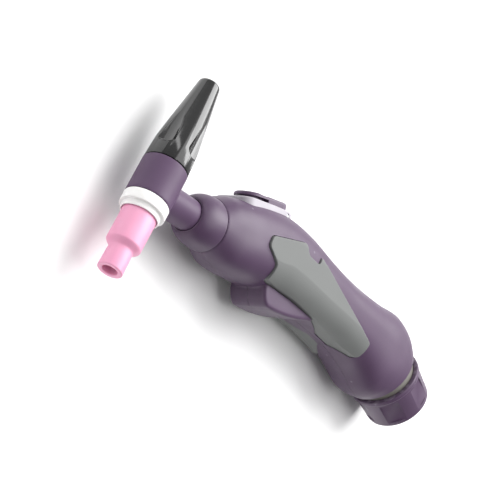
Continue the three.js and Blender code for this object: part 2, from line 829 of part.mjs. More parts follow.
function switchBase() {
  const wellWidth = buttonWidth + 2 * gap;
  const well = [buttonLength + 2 * gap, wellWidth, -deckDepth + deckWall, deckProud + 1];
  let body = onDeck(deckPrism(0, -deckDepth, deckProud, deckBevel));
  body = body.subtract(onDeck(stadium(...well, buttonMiddle)));
  body = body.subtract(crossRod(pinRadius + gap, wellWidth / 2 + deckSide, pinAt.u, pinAt.v));
  const leads = new THREE.BoxGeometry(7, 4 * deckWall, 3.4).translate(microAt, -deckDepth, 0);
  return mesh("switch_base", body.subtract(onDeck(leads)), greySwitch);
}

function switchButton() {
  const floor = deckProud - buttonSkirt;
  const crown = deckProud + buttonHeight;
  let body = onDeck(stadium(buttonLength, buttonWidth, floor, crown, buttonMiddle, buttonBevel));
  const thumb = rod(thumbRadius, -buttonWidth, buttonWidth, 48).rotateX(Math.PI / 2)
    .translate(buttonFront + thumbPlace, crown - thumbDip + thumbRadius, 0);
  body = body.subtract(onDeck(thumb));
  // Undercut all round the front end, which leaves the finger rest's lip.
  const under = [buttonLipFoot, crown - buttonLipThickness, buttonMiddle];
  const core = [buttonLength - 2 * buttonLipReach, buttonWidth - 2 * buttonLipReach];
  const front = new THREE.BoxGeometry(2 * buttonLipLength, 2 * deckDepth, 2 * buttonWidth);
  const undercut = onDeck(stadium(buttonLength + 2, buttonWidth + 2, ...under))
    .subtract(onDeck(stadium(...core, ...under)))
    .intersect(onDeck(front.translate(buttonFront, 0, 0)));
  body = body.subtract(undercut);
  const inside = [buttonLength - 2 * buttonWall, buttonWidth - 2 * buttonWall];
  body = body.subtract(onDeck(stadium(...inside, floor - 1, floor + buttonHollow, buttonMiddle)));
  const nib = rod(plungerRadius, microFloor + microHeight + plungerHeight + gap, floor + 2, 12);
  body = body.add(onDeck(nib.translate(plungerAt, 0, 0)));
  body = body.add(crossRod(pinRadius + gap + pinBoss, buttonWidth * 0.29, pinAt.u, pinAt.v));
  body = body.subtract(crossRod(pinRadius + gap, buttonWidth, pinAt.u, pinAt.v));
  return mesh("switch_button", body, purple);
}

function switchPin() {
  return mesh("switch_hinge_pin", crossRod(pinRadius, buttonWidth / 2 + 1.4, pinAt.u, pinAt.v), steel);
}

function microswitch() {
  const box = new THREE.BoxGeometry(microLength, microHeight, microWidth)
    .translate(microAt, microFloor + microHeight / 2, 0);
  const top = microFloor + microHeight;
  const hole = rod(plungerRadius + gap, top - plungerTravel - 1.2, top + 1, 12).translate(plungerAt, 0, 0);
  let body = onDeck(box).subtract(onDeck(hole));
  for (const step of [-1, 0, 1]) {
    const leg = new THREE.BoxGeometry(0.6, 3, 2.2).translate(microAt + step * 2.5, microFloor - 1.2, 0);
    body = body.add(onDeck(leg));
  }
  return mesh("microswitch_body", body, blackPlastic);
}

function microPlunger() {
  const top = microFloor + microHeight;
  const plunger = rod(plungerRadius, top - 0.9, top + plungerHeight, 12).translate(plungerAt, 0, 0);
  return mesh("microswitch_plunger", onDeck(plunger), redPlastic);
}

function switchSpring() {
  const low = -deckDepth + deckWall + gap + springWire;
  const high = deckProud - buttonSkirt + buttonHollow - gap - springWire;
  class Helix extends THREE.Curve {
    getPoint(share) {
      const angle = share * springTurns * 2 * Math.PI;
      const height = lerp(low, high, share);
      return new THREE.Vector3(springRadius * Math.cos(angle), height, springRadius * Math.sin(angle));
    }
  }
  const wire = new THREE.Shape();
  wire.absarc(0, 0, springWire, 0, 2 * Math.PI, false);
  const coil = new THREE.ExtrudeGeometry(wire, {
    steps: springTurns * 12, extrudePath: new Helix(), curveSegments: 2, bevelEnabled: false,
  });
  return mesh("switch_spring", onDeck(coil.translate(springAt, 0, 0)), steel);
}

// ---- Rear ---------------------------------------------------------------------------------------------

function knuckleBall() {
  const outside = ballSpace(ballRadius);
  const window = placed(rod(ballRadius + 2, -ballHalfLength, ballHalfLength, 8), rearFrame);
  const bore = placed(rod(ballBore, -ballRadius, ballRadius), rearFrame);
  return mesh("knuckle_ball", outside.intersect(window).subtract(bore), greyBall);
}

function rearCollar() {
  const rear = collarGap + collarLength;
  const recessFrom = collarGap + collarLip + recessMargin;
  const recessLength = rear - 2 - recessFrom;
  let body = placed(turned([
    [0, collarGap],
    [collarFrontRadius - 0.5, collarGap],
    [collarFrontRadius, collarGap + 0.5],
    [collarFrontRadius, collarGap + collarLip],
    [collarFrontRadius - 0.5, collarGap + collarLip + 0.4],
    [collarRearRadius, rear - 1],
    [collarRearRadius - 1, rear],
    [0, rear],
  ], 28), rearFrame);
  for (let index = 0; index < collarGrips; index += 1) {
    const recess = new THREE.BoxGeometry(2, recessLength, recessWidth)
      .translate(collarRearRadius + 1 - recessDepth, recessFrom + recessLength / 2, 0)
      .rotateY(((index + 0.5) * 2 * Math.PI) / collarGrips);
    body = body.subtract(placed(recess, rearFrame));
  }
  body = body.subtract(ballSpace(ballRadius + gap));
  body = body.subtract(placed(rod(collarBore, 0, rear + 1), rearFrame));
  return mesh("rear_collar", body, purple);
}

function cableSleeve() {
  const rear = collarGap + collarLength;
  const sleeve = ring([
    [sleeveBore, ballHalfLength + sleeveStart],
    [collarBore - gap, ballHalfLength + sleeveStart],
    [collarBore - gap, rear + gap],
    [collarBore + 1.2, rear + gap],
    [collarBore + 1.2, rear + gap + sleeveFlange],
    [sleeveBore + 0.6, rear + gap + sleeveFlange],
    [sleeveBore, rear + gap + sleeveFlange - 0.6],
  ]);
  return mesh("cable_sleeve", placed(sleeve, rearFrame), blackRubber);
}

// ---- Inside the handle --------------------------------------------------------------------------------

function powerAdaptor() {
  const from = neckTubeLength - 8;
  const body = placed(turned([
    [0, from],
    [adaptorHex - 1, from],
    [adaptorHex, from + 1],
    [adaptorHex, from + adaptorLength - 1],
    [adaptorHex - 1, from + adaptorLength],
    [0, from + adaptorLength],
  ], 6), neckFrame)
    .subtract(placed(rod(neckTubeRadius + gap, from - 1, neckTubeLength + gap), neckFrame))
    .subtract(placed(rod(barbBore, from, from + adaptorLength + 1), neckFrame));
  return mesh("power_adaptor", body, brass);
}

function hoseBarb() {
  const from = neckTubeLength - 8 + adaptorLength + gap;
  const profile = [[barbBore, from], [barbRadius, from]];
  const teeth = 4;
  const pitch = barbLength / teeth;
  for (let tooth = 0; tooth < teeth; tooth += 1) {
    profile.push([barbRadius, from + tooth * pitch + 0.8]);
    profile.push([barbRadius - 0.9, from + (tooth + 1) * pitch - 0.2]);
  }
  profile.push([barbRadius - 0.9, from + barbLength], [barbBore, from + barbLength]);
  return mesh("hose_barb", placed(ring(profile, 20), neckFrame), brass);
}

function handleScrew(name, x, y) {
  const profile = turned([
    [0, -screwReach],
    [screwRadius, -screwReach],
    [screwRadius, screwSeat + gap],
    [screwHeadRadius, screwSeat + gap],
    [screwHeadRadius, screwSeat + gap + screwHeadHeight * 0.6],
    [screwHeadRadius - 0.8, screwSeat + gap + screwHeadHeight],
    [0, screwSeat + gap + screwHeadHeight],
  ], 18);
  const slot = new THREE.BoxGeometry(0.8, 2, 3).translate(0, screwSeat + gap + screwHeadHeight, 0);
  const cross = new THREE.BoxGeometry(3, 2, 0.8).translate(0, screwSeat + gap + screwHeadHeight, 0);
  const body = acrossZ(profile, x, y).subtract(acrossZ(slot, x, y)).subtract(acrossZ(cross, x, y));
  return mesh(name, body, steel);
}

// ---- Assembly -----------------------------------------------------------------------------------------

const torch = new THREE.Group();

const head = new THREE.Group();
head.add(headInsulator(), headCore(), neckTube(), cupGasket(), colletBody(), collet());
head.add(electrode(), ceramicCup());
head.add(backCap(), capThread(), capSeal());

const handle = new THREE.Group();
const whole = handleBody();
handle.add(noseCollar());
handle.add(handleShell("handle_shell_right", whole, 1), handleShell("handle_shell_left", whole, -1));
handle.add(sideGrip("grip_panel_right", 1), sideGrip("grip_panel_left", -1));
handle.add(powerAdaptor(), hoseBarb());
screwPlaces.forEach((place, index) => {
  handle.add(handleScrew(`handle_screw_${index + 1}`, ...onHandle(...place)));
});

const pressSwitch = new THREE.Group();
pressSwitch.add(switchBase(), switchButton(), switchPin(), microswitch(), microPlunger(), switchSpring());

const rear = new THREE.Group();
rear.add(knuckleBall(), rearCollar(), cableSleeve());

torch.add(head, handle, pressSwitch, rear);

// Origin at the middle of the footprint, on the bench.
const box = new THREE.Box3().setFromObject(torch, true);
const middle = box.getCenter(new THREE.Vector3());
torch.position.set(-middle.x, -middle.y, -box.min.z);

export default torch;
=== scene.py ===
import bmesh
import bpy
import math
from mathutils import Matrix, Vector


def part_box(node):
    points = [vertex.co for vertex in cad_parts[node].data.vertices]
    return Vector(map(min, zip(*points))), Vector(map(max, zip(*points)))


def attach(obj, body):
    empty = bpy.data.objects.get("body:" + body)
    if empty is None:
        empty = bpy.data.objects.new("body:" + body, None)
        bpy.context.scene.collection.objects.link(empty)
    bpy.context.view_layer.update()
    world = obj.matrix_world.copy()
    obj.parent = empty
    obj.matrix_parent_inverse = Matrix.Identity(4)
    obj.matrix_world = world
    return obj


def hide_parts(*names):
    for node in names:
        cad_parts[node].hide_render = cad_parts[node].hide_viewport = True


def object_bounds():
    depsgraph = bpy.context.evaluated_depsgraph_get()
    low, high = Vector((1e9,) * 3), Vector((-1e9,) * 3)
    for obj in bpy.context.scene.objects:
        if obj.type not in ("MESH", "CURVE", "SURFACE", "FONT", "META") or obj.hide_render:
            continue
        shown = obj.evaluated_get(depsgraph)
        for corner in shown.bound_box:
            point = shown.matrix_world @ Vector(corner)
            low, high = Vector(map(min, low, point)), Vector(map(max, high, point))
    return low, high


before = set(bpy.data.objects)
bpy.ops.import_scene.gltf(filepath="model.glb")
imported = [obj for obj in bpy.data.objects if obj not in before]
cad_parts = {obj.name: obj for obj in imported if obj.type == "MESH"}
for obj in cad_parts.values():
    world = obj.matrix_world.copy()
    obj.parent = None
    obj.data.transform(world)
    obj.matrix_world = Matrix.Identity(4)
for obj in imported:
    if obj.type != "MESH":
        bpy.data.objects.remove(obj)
cad_box = [list(corner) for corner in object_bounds()]

# ---- Camera and studio -------------------------------------------------------------------------------
# The torch lies on its left side on a pale bench. The camera looks down at it from the cup's side, from
# about three quarters of a metre, through a long lens.

camera = bpy.data.objects.new("camera", bpy.data.cameras.new("camera"))
camera.data.lens = 144
camera.data.sensor_width = 36
middle = (Vector(cad_box[0]) + Vector(cad_box[1])) / 2
camera.location = middle + Vector((-0.5706, -0.3765, 0.4847))
camera.rotation_euler = [math.radians(turn) for turn in (-4.975, -53.649, 41.815)]
camera.data.clip_start = 0.05
camera.data.clip_end = 20
bpy.context.scene.collection.objects.link(camera)
bpy.context.scene.camera = camera
bpy.context.scene.view_settings.view_transform = "Standard"


def linear(code):
    """An sRGB hex colour as linear red, green, blue and alpha."""
    parts = [int(code[place:place + 2], 16) / 255 for place in (1, 3, 5)]
    return [p / 12.92 if p <= 0.04045 else ((p + 0.055) / 1.055) ** 2.4 for p in parts] + [1]


def add(tree, kind, values=None, **settings):
    """A node with its settings, and its sockets set to values or linked."""
    made = tree.nodes.new(kind)
    for key, value in settings.items():
        setattr(made, key, value)
    for socket, value in (values or {}).items():
        if isinstance(value, bpy.types.NodeSocket):
            tree.links.new(value, made.inputs[socket])
        else:
            made.inputs[socket].default_value = value
    return made


def finish(name):
    """A new material's tree, its shader, and the object's own coordinates."""
    made = bpy.data.materials.new(name)
    made.use_nodes = True
    tree = made.node_tree
    shader = tree.nodes["Principled BSDF"]
    return made, tree, shader, add(tree, "ShaderNodeTexCoord").outputs["Object"]


TORCH_MIDDLE = Vector((0, 0, 0.016))  # where the lights point


def soft_light(name, place, size, power):
    """A rectangular softbox at a place, in metres, turned to the torch."""
    lamp = bpy.data.lights.new(name, "AREA")
    lamp.shape = "RECTANGLE"
    lamp.size, lamp.size_y = size
    lamp.energy = power
    made = bpy.data.objects.new(name, lamp)
    made.location = place
    made.rotation_euler = (TORCH_MIDDLE - Vector(place)).to_track_quat("-Z", "Y").to_euler()
    bpy.context.scene.collection.objects.link(made)


soft_light("key_softbox", (0.35, 0.8, 0.85), (0.9, 0.9), 15)
soft_light("top_softbox", (0.1, 0.25, 1.3), (1.4, 1.4), 12)
soft_light("end_strip", (-0.75, 0.55, 0.5), (0.15, 0.9), 1.5)

world = bpy.data.worlds.new("studio")
world.use_nodes = True
backdrop = world.node_tree.nodes["Background"]
backdrop.inputs["Strength"].default_value = 0.6
heading = add(world.node_tree, "ShaderNodeTexCoord")
split = add(world.node_tree, "ShaderNodeSeparateXYZ", {"Vector": heading.outputs["Generated"]})
# the room is dim on the side below the head and bright behind the back cap
wash = add(world.node_tree, "ShaderNodeMapRange", {"Value": split.outputs["Y"], "From Min": -0.7,
                                                   "From Max": 0.5, "To Min": 0.45, "To Max": 1.15})
world.node_tree.links.new(wash.outputs["Result"], backdrop.inputs["Color"])
bpy.context.scene.world = world

bench = bmesh.new()
bmesh.ops.create_grid(bench, x_segments=2, y_segments=2, size=6)
bench_mesh = bpy.data.meshes.new("bench")
bench.to_mesh(bench_mesh)
bench_top = bpy.data.objects.new("bench", bench_mesh)
bpy.context.scene.collection.objects.link(bench_top)
bench_paint, tree, shader, where = finish("matt white lacquer")
mottle = add(tree, "ShaderNodeTexNoise", {"Vector": where, "Scale": 3.0, "Detail": 2.0})
shade = add(tree, "ShaderNodeMix", {"Factor": mottle.outputs["Fac"], "A": linear("#f4f4f4"),
                                    "B": linear("#fafafa")}, data_type="RGBA")
tree.links.new(shade.outputs["Result"], shader.inputs["Base Color"])
shader.inputs["Roughness"].default_value = 0.9
bench_mesh.materials.append(bench_paint)

# ---- Ceramic cup -------------------------------------------------------------------------------------
# The gas nozzle: a small orifice cup of pink fired alumina, slip-cast or pressed and then ground at the
# mouth. It screws up into the gasket over the collet body.

cup_low, cup_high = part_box("ceramic_cup")
core_low, core_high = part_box("torch_head_core")
# Millimetre frame of the torch: origin on the head axis at the underside of the head, X rearwards along
# the handle, Y towards the back cap, Z up out of the torch's middle plane.
CLEARANCE = 0.3  # between neighbouring pieces, and below the brass core in the head
AXIS = Vector(((cup_low.x + cup_high.x) / 2, core_low.y, (cup_low.z + cup_high.z) / 2))
TO_ROW = (Matrix.Translation(AXIS) @ Matrix.Scale(0.001, 4)
          @ Matrix.Translation((0, -CLEARANCE, 0)))


def in_torch(point):
    """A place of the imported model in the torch's millimetre frame."""
    return TO_ROW.inverted() @ Vector(point)


def turned(profile, steps=96, at=Matrix(), closed=True):
    """A piece turned about its Y axis from (radius, height) pairs. A closed profile makes a ring."""
    made = bmesh.new()
    row = [made.verts.new((radius, height, 0)) for radius, height in profile]
    pairs = list(zip(row, row[1:])) + ([(row[-1], row[0])] if closed else [])
    edges = [made.edges.new(pair) for pair in pairs]
    bmesh.ops.spin(made, geom=row + edges, cent=(0, 0, 0), axis=(0, 1, 0),
                   angle=math.tau, steps=steps, use_merge=True)
    bmesh.ops.remove_doubles(made, verts=made.verts, dist=0.0005)
    bmesh.ops.dissolve_degenerate(made, edges=made.edges, dist=0.0005)
    bmesh.ops.recalc_face_normals(made, faces=made.faces)
    bmesh.ops.transform(made, matrix=at, verts=made.verts)
    return made


def soften(made, width, segments=3, above=28):
    """Rounds the edges that turn by more than an angle."""
    edges = [edge for edge in made.edges if len(edge.link_faces) == 2
             and edge.calc_face_angle(0) > math.radians(above)]
    bmesh.ops.bevel(made, geom=edges, offset=width, offset_type="OFFSET", segments=segments,
                    profile=0.5, affect="EDGES", clamp_overlap=True, material=-1)
    return made


def piece(name, made, body, look, replaces=(), crease=40, triangles=False):
    """Turns a millimetre mesh into a finished piece that rides on a body."""
    bmesh.ops.transform(made, matrix=TO_ROW, verts=made.verts)
    if triangles:
        bmesh.ops.triangulate(made, faces=[face for face in made.faces if len(face.verts) > 4])
    for face in made.faces:
        face.smooth = True
    mesh = bpy.data.meshes.new(name)
    made.to_mesh(mesh)
    made.free()
    mesh.set_sharp_from_angle(angle=math.radians(crease))
    mesh.materials.append(look)
    result = bpy.data.objects.new(name, mesh)
    bpy.context.scene.collection.objects.link(result)
    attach(result, body)
    if replaces:
        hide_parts(*replaces)
    return result


# Fired alumina coloured pink: dense, slightly translucent at its rim, a dry satin gloss with faint
# kiln speckle.
alumina, tree, shader, where = finish("pink fired alumina")
cloud = add(tree, "ShaderNodeTexNoise", {"Vector": where, "Scale": 1 / 0.006, "Detail": 3.0})
speck = add(tree, "ShaderNodeTexVoronoi", {"Vector": where, "Scale": 1 / 0.0011}, feature="F1")
dots = add(tree, "ShaderNodeMapRange", {"Value": speck.outputs["Distance"], "From Min": 0.05,
                                        "From Max": 0.22, "To Min": 0.35, "To Max": 0.0})
body_tone = add(tree, "ShaderNodeMix", {"Factor": cloud.outputs["Fac"], "A": linear("#ec9dc0"),
                                        "B": linear("#f3abca")}, data_type="RGBA")
speckled = add(tree, "ShaderNodeMix", {"Factor": dots.outputs["Result"],
                                       "A": body_tone.outputs["Result"],
                                       "B": linear("#d98aac")}, data_type="RGBA")
tree.links.new(speckled.outputs["Result"], shader.inputs["Base Color"])
grit = add(tree, "ShaderNodeTexNoise", {"Vector": where, "Scale": 1 / 0.0004, "Detail": 2.0})
bump = add(tree, "ShaderNodeBump", {"Height": grit.outputs["Fac"], "Strength": 0.25,
                                    "Distance": 0.00004})
tree.links.new(bump.outputs["Normal"], shader.inputs["Normal"])
dull = add(tree, "ShaderNodeMapRange", {"Value": cloud.outputs["Fac"], "To Min": 0.34, "To Max": 0.5})
tree.links.new(dull.outputs["Result"], shader.inputs["Roughness"])
shader.inputs["IOR"].default_value = 1.6
shader.inputs["Subsurface Weight"].default_value = 0.12
shader.inputs["Subsurface Radius"].default_value = (1.0, 0.5, 0.5)
shader.inputs["Subsurface Scale"].default_value = 0.001

CUP_TOP = in_torch(cup_high).y
CUP_MOUTH = in_torch(cup_low).y
CUP_RADIUS = (cup_high.x - cup_low.x) * 500
MOUTH_RADIUS = 5.3
BORE = 3.2
NOZZLE = 9.5  # straight narrow part at the mouth
WAIST = 5.0  # outside radius at the top of the nozzle
SHOULDER = 3.0
THREAD_RADIUS = 5.1
THREAD_DEPTH = 11
THREAD_RUNOUT = 3
MOUTH_ROUND = 0.45

shoulder_at = CUP_MOUTH + NOZZLE
thread_at = CUP_TOP - THREAD_DEPTH
# the shoulder is a smooth S from the waist to the barrel
shoulder = []
for number in range(15):
    share = number / 14
    swell = share * share * (3 - 2 * share)
    shoulder.append((WAIST + (CUP_RADIUS - WAIST) * swell, shoulder_at + SHOULDER * share))
cup = turned([
    (BORE, CUP_MOUTH), (MOUTH_RADIUS, CUP_MOUTH), (WAIST + 0.02, shoulder_at - 1), *shoulder,
    (CUP_RADIUS, CUP_TOP), (THREAD_RADIUS, CUP_TOP), (THREAD_RADIUS, thread_at),
    (BORE, thread_at - THREAD_RUNOUT), (BORE, CUP_MOUTH + 3),
])
soften(cup, MOUTH_ROUND, segments=4, above=40)
piece("ceramic_cup_glazed", cup, "cup", alumina, ["ceramic_cup"], crease=60)

# ---- Cup gasket --------------------------------------------------------------------------------------
# The white heat shield between head and cup: a flanged ring turned from PTFE bar, pressed into the
# underside of the head. Its smaller boss takes the end of the cup.

gasket_low, gasket_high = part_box("cup_gasket")
HEAD_RADIUS = (gasket_high.x - gasket_low.x) * 500
GASKET_TOP = in_torch(gasket_high).y
GASKET_FLANGE = 4.6
GASKET_BOSS = 2.4
BOSS_RADIUS = 8.2

# Turned PTFE: waxy, bright white, softly translucent, with fine lathe rings and handling smudges.
ptfe, tree, shader, where = finish("turned white PTFE")
lathe = add(tree, "ShaderNodeTexWave", {"Vector": where, "Scale": 1 / 0.0025, "Distortion": 0.4},
            wave_type="BANDS", bands_direction="Y")
smudge = add(tree, "ShaderNodeTexNoise", {"Vector": where, "Scale": 1 / 0.004, "Detail": 4.0})
white = add(tree, "ShaderNodeMix", {"Factor": smudge.outputs["Fac"], "A": linear("#fbfbfa"),
                                    "B": linear("#f1f0ee")}, data_type="RGBA")
tree.links.new(white.outputs["Result"], shader.inputs["Base Color"])
bump = add(tree, "ShaderNodeBump", {"Height": lathe.outputs["Fac"], "Strength": 0.12,
                                    "Distance": 0.00003})
tree.links.new(bump.outputs["Normal"], shader.inputs["Normal"])
shader.inputs["Roughness"].default_value = 0.42
shader.inputs["IOR"].default_value = 1.35
shader.inputs["Subsurface Weight"].default_value = 0.2
shader.inputs["Subsurface Radius"].default_value = (1.0, 1.0, 1.0)
shader.inputs["Subsurface Scale"].default_value = 0.001

flange_foot = GASKET_TOP - GASKET_FLANGE
boss_foot = flange_foot - GASKET_BOSS
gasket = turned([
    (THREAD_RADIUS + CLEARANCE, CUP_TOP + CLEARANCE),
    (CUP_RADIUS + CLEARANCE, CUP_TOP + CLEARANCE),
    (CUP_RADIUS + CLEARANCE, boss_foot), (BOSS_RADIUS, boss_foot),
    (BOSS_RADIUS, flange_foot), (HEAD_RADIUS, flange_foot),
    (HEAD_RADIUS, GASKET_TOP), (THREAD_RADIUS + CLEARANCE, GASKET_TOP),
])
soften(gasket, 0.28)
piece("cup_gasket_turned", gasket, "handle", ptfe, ["cup_gasket"], crease=60)

# ---- Insulated head and neck --------------------------------------------------------------------------
# One silicone rubber moulding over the brass head and the copper neck tube: an upright barrel that
# takes the cup below and the back cap above, and a round neck that leans back into the handle.

NECK_TILT = math.radians(16.4)
NECK_HEIGHT = 5.2
NECK_RADIUS = 6.7
NECK_LENGTH = 44
CAP_SEAT_RADIUS = 7.2
CAP_SEAT_DEPTH = 2.4
CORE_SPACE = 6.5  # radii of the bores for the core, its stub and the neck tube
STUB_SPACE = 5.1
STUB_LENGTH = 15.3
TUBE_SPACE = 3.7
HEAD_TOP = in_torch(core_high).y + CAP_SEAT_DEPTH + CLEARANCE


def axis_at(x, y, tilt):
    """A frame whose Y axis runs rearwards at a tilt above the X axis."""
    return Matrix.Translation((x, y, 0)) @ Matrix.Rotation(tilt - math.pi / 2, 4, "Z")


NECK = axis_at(0, NECK_HEIGHT, NECK_TILT)


def rod(radius, low, high, steps=64, at=Matrix()):
    """A plain turned bar."""
    return turned([(0, low), (radius, low), (radius, high), (0, high)], steps, at, closed=False)


def worked(made, tools=(), operation="DIFFERENCE", voxel=0, rounds=0):
    """Cuts or joins other meshes to one, and can then fuse it into a single skin and smooth it."""
    def loose(name, source):
        mesh = bpy.data.meshes.new(name)
        source.to_mesh(mesh)
        source.free()
        result = bpy.data.objects.new(name, mesh)
        bpy.context.scene.collection.objects.link(result)
        return result

    blank = loose("blank", made)
    others = [loose("tool", tool) for tool in tools]
    for other in others:
        cut = blank.modifiers.new("cut", "BOOLEAN")
        cut.operation = operation
        cut.solver = "EXACT"
        cut.object = other
    if voxel:
        skin = blank.modifiers.new("skin", "REMESH")
        skin.mode = "VOXEL"
        skin.voxel_size = voxel
    if rounds:
        ease = blank.modifiers.new("ease", "SMOOTH")
        ease.factor = 0.5
        ease.iterations = rounds
    graph = bpy.context.evaluated_depsgraph_get()
    result = bmesh.new()
    result.from_object(blank, graph)
    for used in [blank] + others:
        mesh = used.data
        bpy.data.objects.remove(used)
        bpy.data.meshes.remove(mesh)
    return result


def moulded(name, light, dark, grain, roughness, ior, lift=0.00003, depth=0.25, cloud=0.012):
    """A moulded plastic or rubber: a spark-eroded grain, slow tone shifts and worn, paler edges."""
    made, tree, shader, where = finish(name)
    slow = add(tree, "ShaderNodeTexNoise", {"Vector": where, "Scale": 1 / cloud, "Detail": 3.0})
    tone = add(tree, "ShaderNodeMix", {"Factor": slow.outputs["Fac"], "A": linear(dark),
                                       "B": linear(light)}, data_type="RGBA")
    shape = add(tree, "ShaderNodeNewGeometry")
    edge = add(tree, "ShaderNodeMapRange", {"Value": shape.outputs["Pointiness"],
                                            "From Min": 0.53, "From Max": 0.62, "To Max": 0.22})
    worn = add(tree, "ShaderNodeMix", {"Factor": edge.outputs["Result"],
                                       "A": tone.outputs["Result"],
                                       "B": linear("#b9b0bd")}, data_type="RGBA")
    tree.links.new(worn.outputs["Result"], shader.inputs["Base Color"])
    cells = add(tree, "ShaderNodeTexNoise", {"Vector": where, "Scale": 1 / grain, "Detail": 3.0,
                                             "Roughness": 0.6})
    bump = add(tree, "ShaderNodeBump", {"Height": cells.outputs["Fac"], "Strength": depth,
                                        "Distance": lift})
    tree.links.new(bump.outputs["Normal"], shader.inputs["Normal"])
    rub = add(tree, "ShaderNodeTexNoise", {"Vector": where, "Scale": 1 / 0.02, "Detail": 5.0})
    sheen = add(tree, "ShaderNodeMapRange", {"Value": rub.outputs["Fac"], "From Min": 0.3,
                                             "From Max": 0.7, "To Min": roughness - 0.07,
                                             "To Max": roughness + 0.07})
    tree.links.new(sheen.outputs["Result"], shader.inputs["Roughness"])
    shader.inputs["IOR"].default_value = ior
    return made


# Silicone rubber from a blasted mould: a soft, even satin with a faint powdery grain.
silicone = moulded("moulded purple silicone", "#5d4763", "#533f59", 0.0004, 0.5, 1.41)

barrel = rod(HEAD_RADIUS, 0, HEAD_TOP, 96)
neck_bar = rod(NECK_RADIUS, CORE_SPACE, NECK_LENGTH, 96, NECK)
below = rod(HEAD_RADIUS * 2, -HEAD_RADIUS, 0, 48)
head = worked(worked(barrel, [neck_bar], "UNION"), [below], voxel=0.32, rounds=4)
head = worked(head, [
    rod(CORE_SPACE, -1, HEAD_TOP - CAP_SEAT_DEPTH),
    rod(CAP_SEAT_RADIUS, HEAD_TOP - CAP_SEAT_DEPTH, HEAD_TOP + 1),
    rod(STUB_SPACE, 0, STUB_LENGTH, 48, NECK), rod(TUBE_SPACE, 0, NECK_LENGTH + 1, 48, NECK)])
piece("head_and_neck_skin", head, "handle", silicone, ["head_insulator"],
      triangles=True)

# ---- Back cap ------------------------------------------------------------------------------------------
# The short tapered cap that clamps the collet and covers the electrode's tail: black phenolic, moulded
# and polished, with four long thumb scallops. A brass thread is moulded into its foot.

cap_low, cap_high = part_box("back_cap")
CAP_TOP = in_torch(cap_high).y
CAP_FOOT = HEAD_TOP + CLEARANCE
CAP_LENGTH = CAP_TOP - HEAD_TOP
CAP_FOOT_RADIUS = (cap_high.x - cap_low.x) * 500
CAP_SHOULDER = (9.1, 10)  # radius, and height above the foot
CAP_MIDDLE = (7.9, CAP_LENGTH * 0.45)
CAP_TIP_RADIUS = 4.8
CAP_TIP_ROUND = 1.6
CAP_SOCKET_RADIUS = 4.9
CAP_SOCKET_DEPTH = 9.3
CAP_SPIGOT_RADIUS = 5.8
CAP_BORE_RADIUS = 2.1
CAP_END_WALL = 3
SCALLOPS = 4
SCALLOP_TURN = math.radians(170)  # the first one, from +X towards +Z
SCALLOP_START = 6
SCALLOP_LENGTH = 21
SCALLOP_RADIUS = 7
SCALLOP_DEPTH = 2.3
SCALLOP_FOOT = 4.5
SCALLOP_TIP = 1.5
SCALLOP_EDGE = 0.14  # rounding of the edges


def cap_radius(height):
    """Outside radius of the plain cap at a height."""
    rows = [(CAP_FOOT + CAP_SHOULDER[1], CAP_SHOULDER[0]), (CAP_FOOT + CAP_MIDDLE[1], CAP_MIDDLE[0]),
            (CAP_TOP - CAP_TIP_ROUND, CAP_TIP_RADIUS)]
    (h0, r0), (h1, r1) = rows[:2] if height < rows[1][0] else rows[1:]
    return r0 + (r1 - r0) * (height - h0) / (h1 - h0)


def dome(radius, height, count=12):
    """A quarter of an ellipse, from the axis out to a radius, as a turned profile."""
    return [(radius * math.sqrt(1 - (1 - n / count) ** 2), height * n / count)
            for n in range(count + 1)]


tip_arc = [(CAP_TIP_RADIUS - CAP_TIP_ROUND * (1 - math.cos(math.pi * n / 12)),
            CAP_TOP - CAP_TIP_ROUND * (1 - math.sin(math.pi * n / 12))) for n in range(7)]
cap = turned([(0, CAP_FOOT + CAP_SOCKET_DEPTH), (CAP_SOCKET_RADIUS, CAP_FOOT + CAP_SOCKET_DEPTH),
              (CAP_SOCKET_RADIUS, CAP_FOOT - 1), (CAP_SPIGOT_RADIUS, CAP_FOOT - 1),
              (CAP_SPIGOT_RADIUS, CAP_FOOT), (CAP_FOOT_RADIUS - 0.5, CAP_FOOT),
              (CAP_FOOT_RADIUS - 0.15, CAP_FOOT + 0.15), (CAP_FOOT_RADIUS, CAP_FOOT + 0.5),
              (CAP_SHOULDER[0], CAP_FOOT + CAP_SHOULDER[1]),
              (CAP_MIDDLE[0], CAP_FOOT + CAP_MIDDLE[1])] + tip_arc + [(0, CAP_TOP)],
             steps=180, closed=False)
scallop_low = HEAD_TOP + SCALLOP_START
foot_reach = cap_radius(scallop_low + SCALLOP_FOOT) - SCALLOP_DEPTH + SCALLOP_RADIUS
tip_reach = cap_radius(scallop_low + SCALLOP_LENGTH) + SCALLOP_TIP
lean = math.atan2(foot_reach - tip_reach, SCALLOP_LENGTH - SCALLOP_FOOT)
cuts = [rod(CAP_BORE_RADIUS, CAP_FOOT + CAP_SOCKET_DEPTH - 0.5, CAP_TOP - CAP_END_WALL, 32)]
for number in range(SCALLOPS):
    at = (Matrix.Rotation(-SCALLOP_TURN - number * math.tau / SCALLOPS, 4, "Y")
          @ Matrix.Translation((foot_reach, scallop_low + SCALLOP_FOOT, 0))
          @ Matrix.Rotation(lean, 4, "Z") @ Matrix.Translation((0, -SCALLOP_FOOT, 0)))
    scoop = dome(SCALLOP_RADIUS, SCALLOP_FOOT) + [(SCALLOP_TIP, SCALLOP_LENGTH), (0, SCALLOP_LENGTH)]
    cuts.append(turned(scoop, 160, at, closed=False))
cap = soften(worked(cap, cuts), SCALLOP_EDGE, 2, above=30)

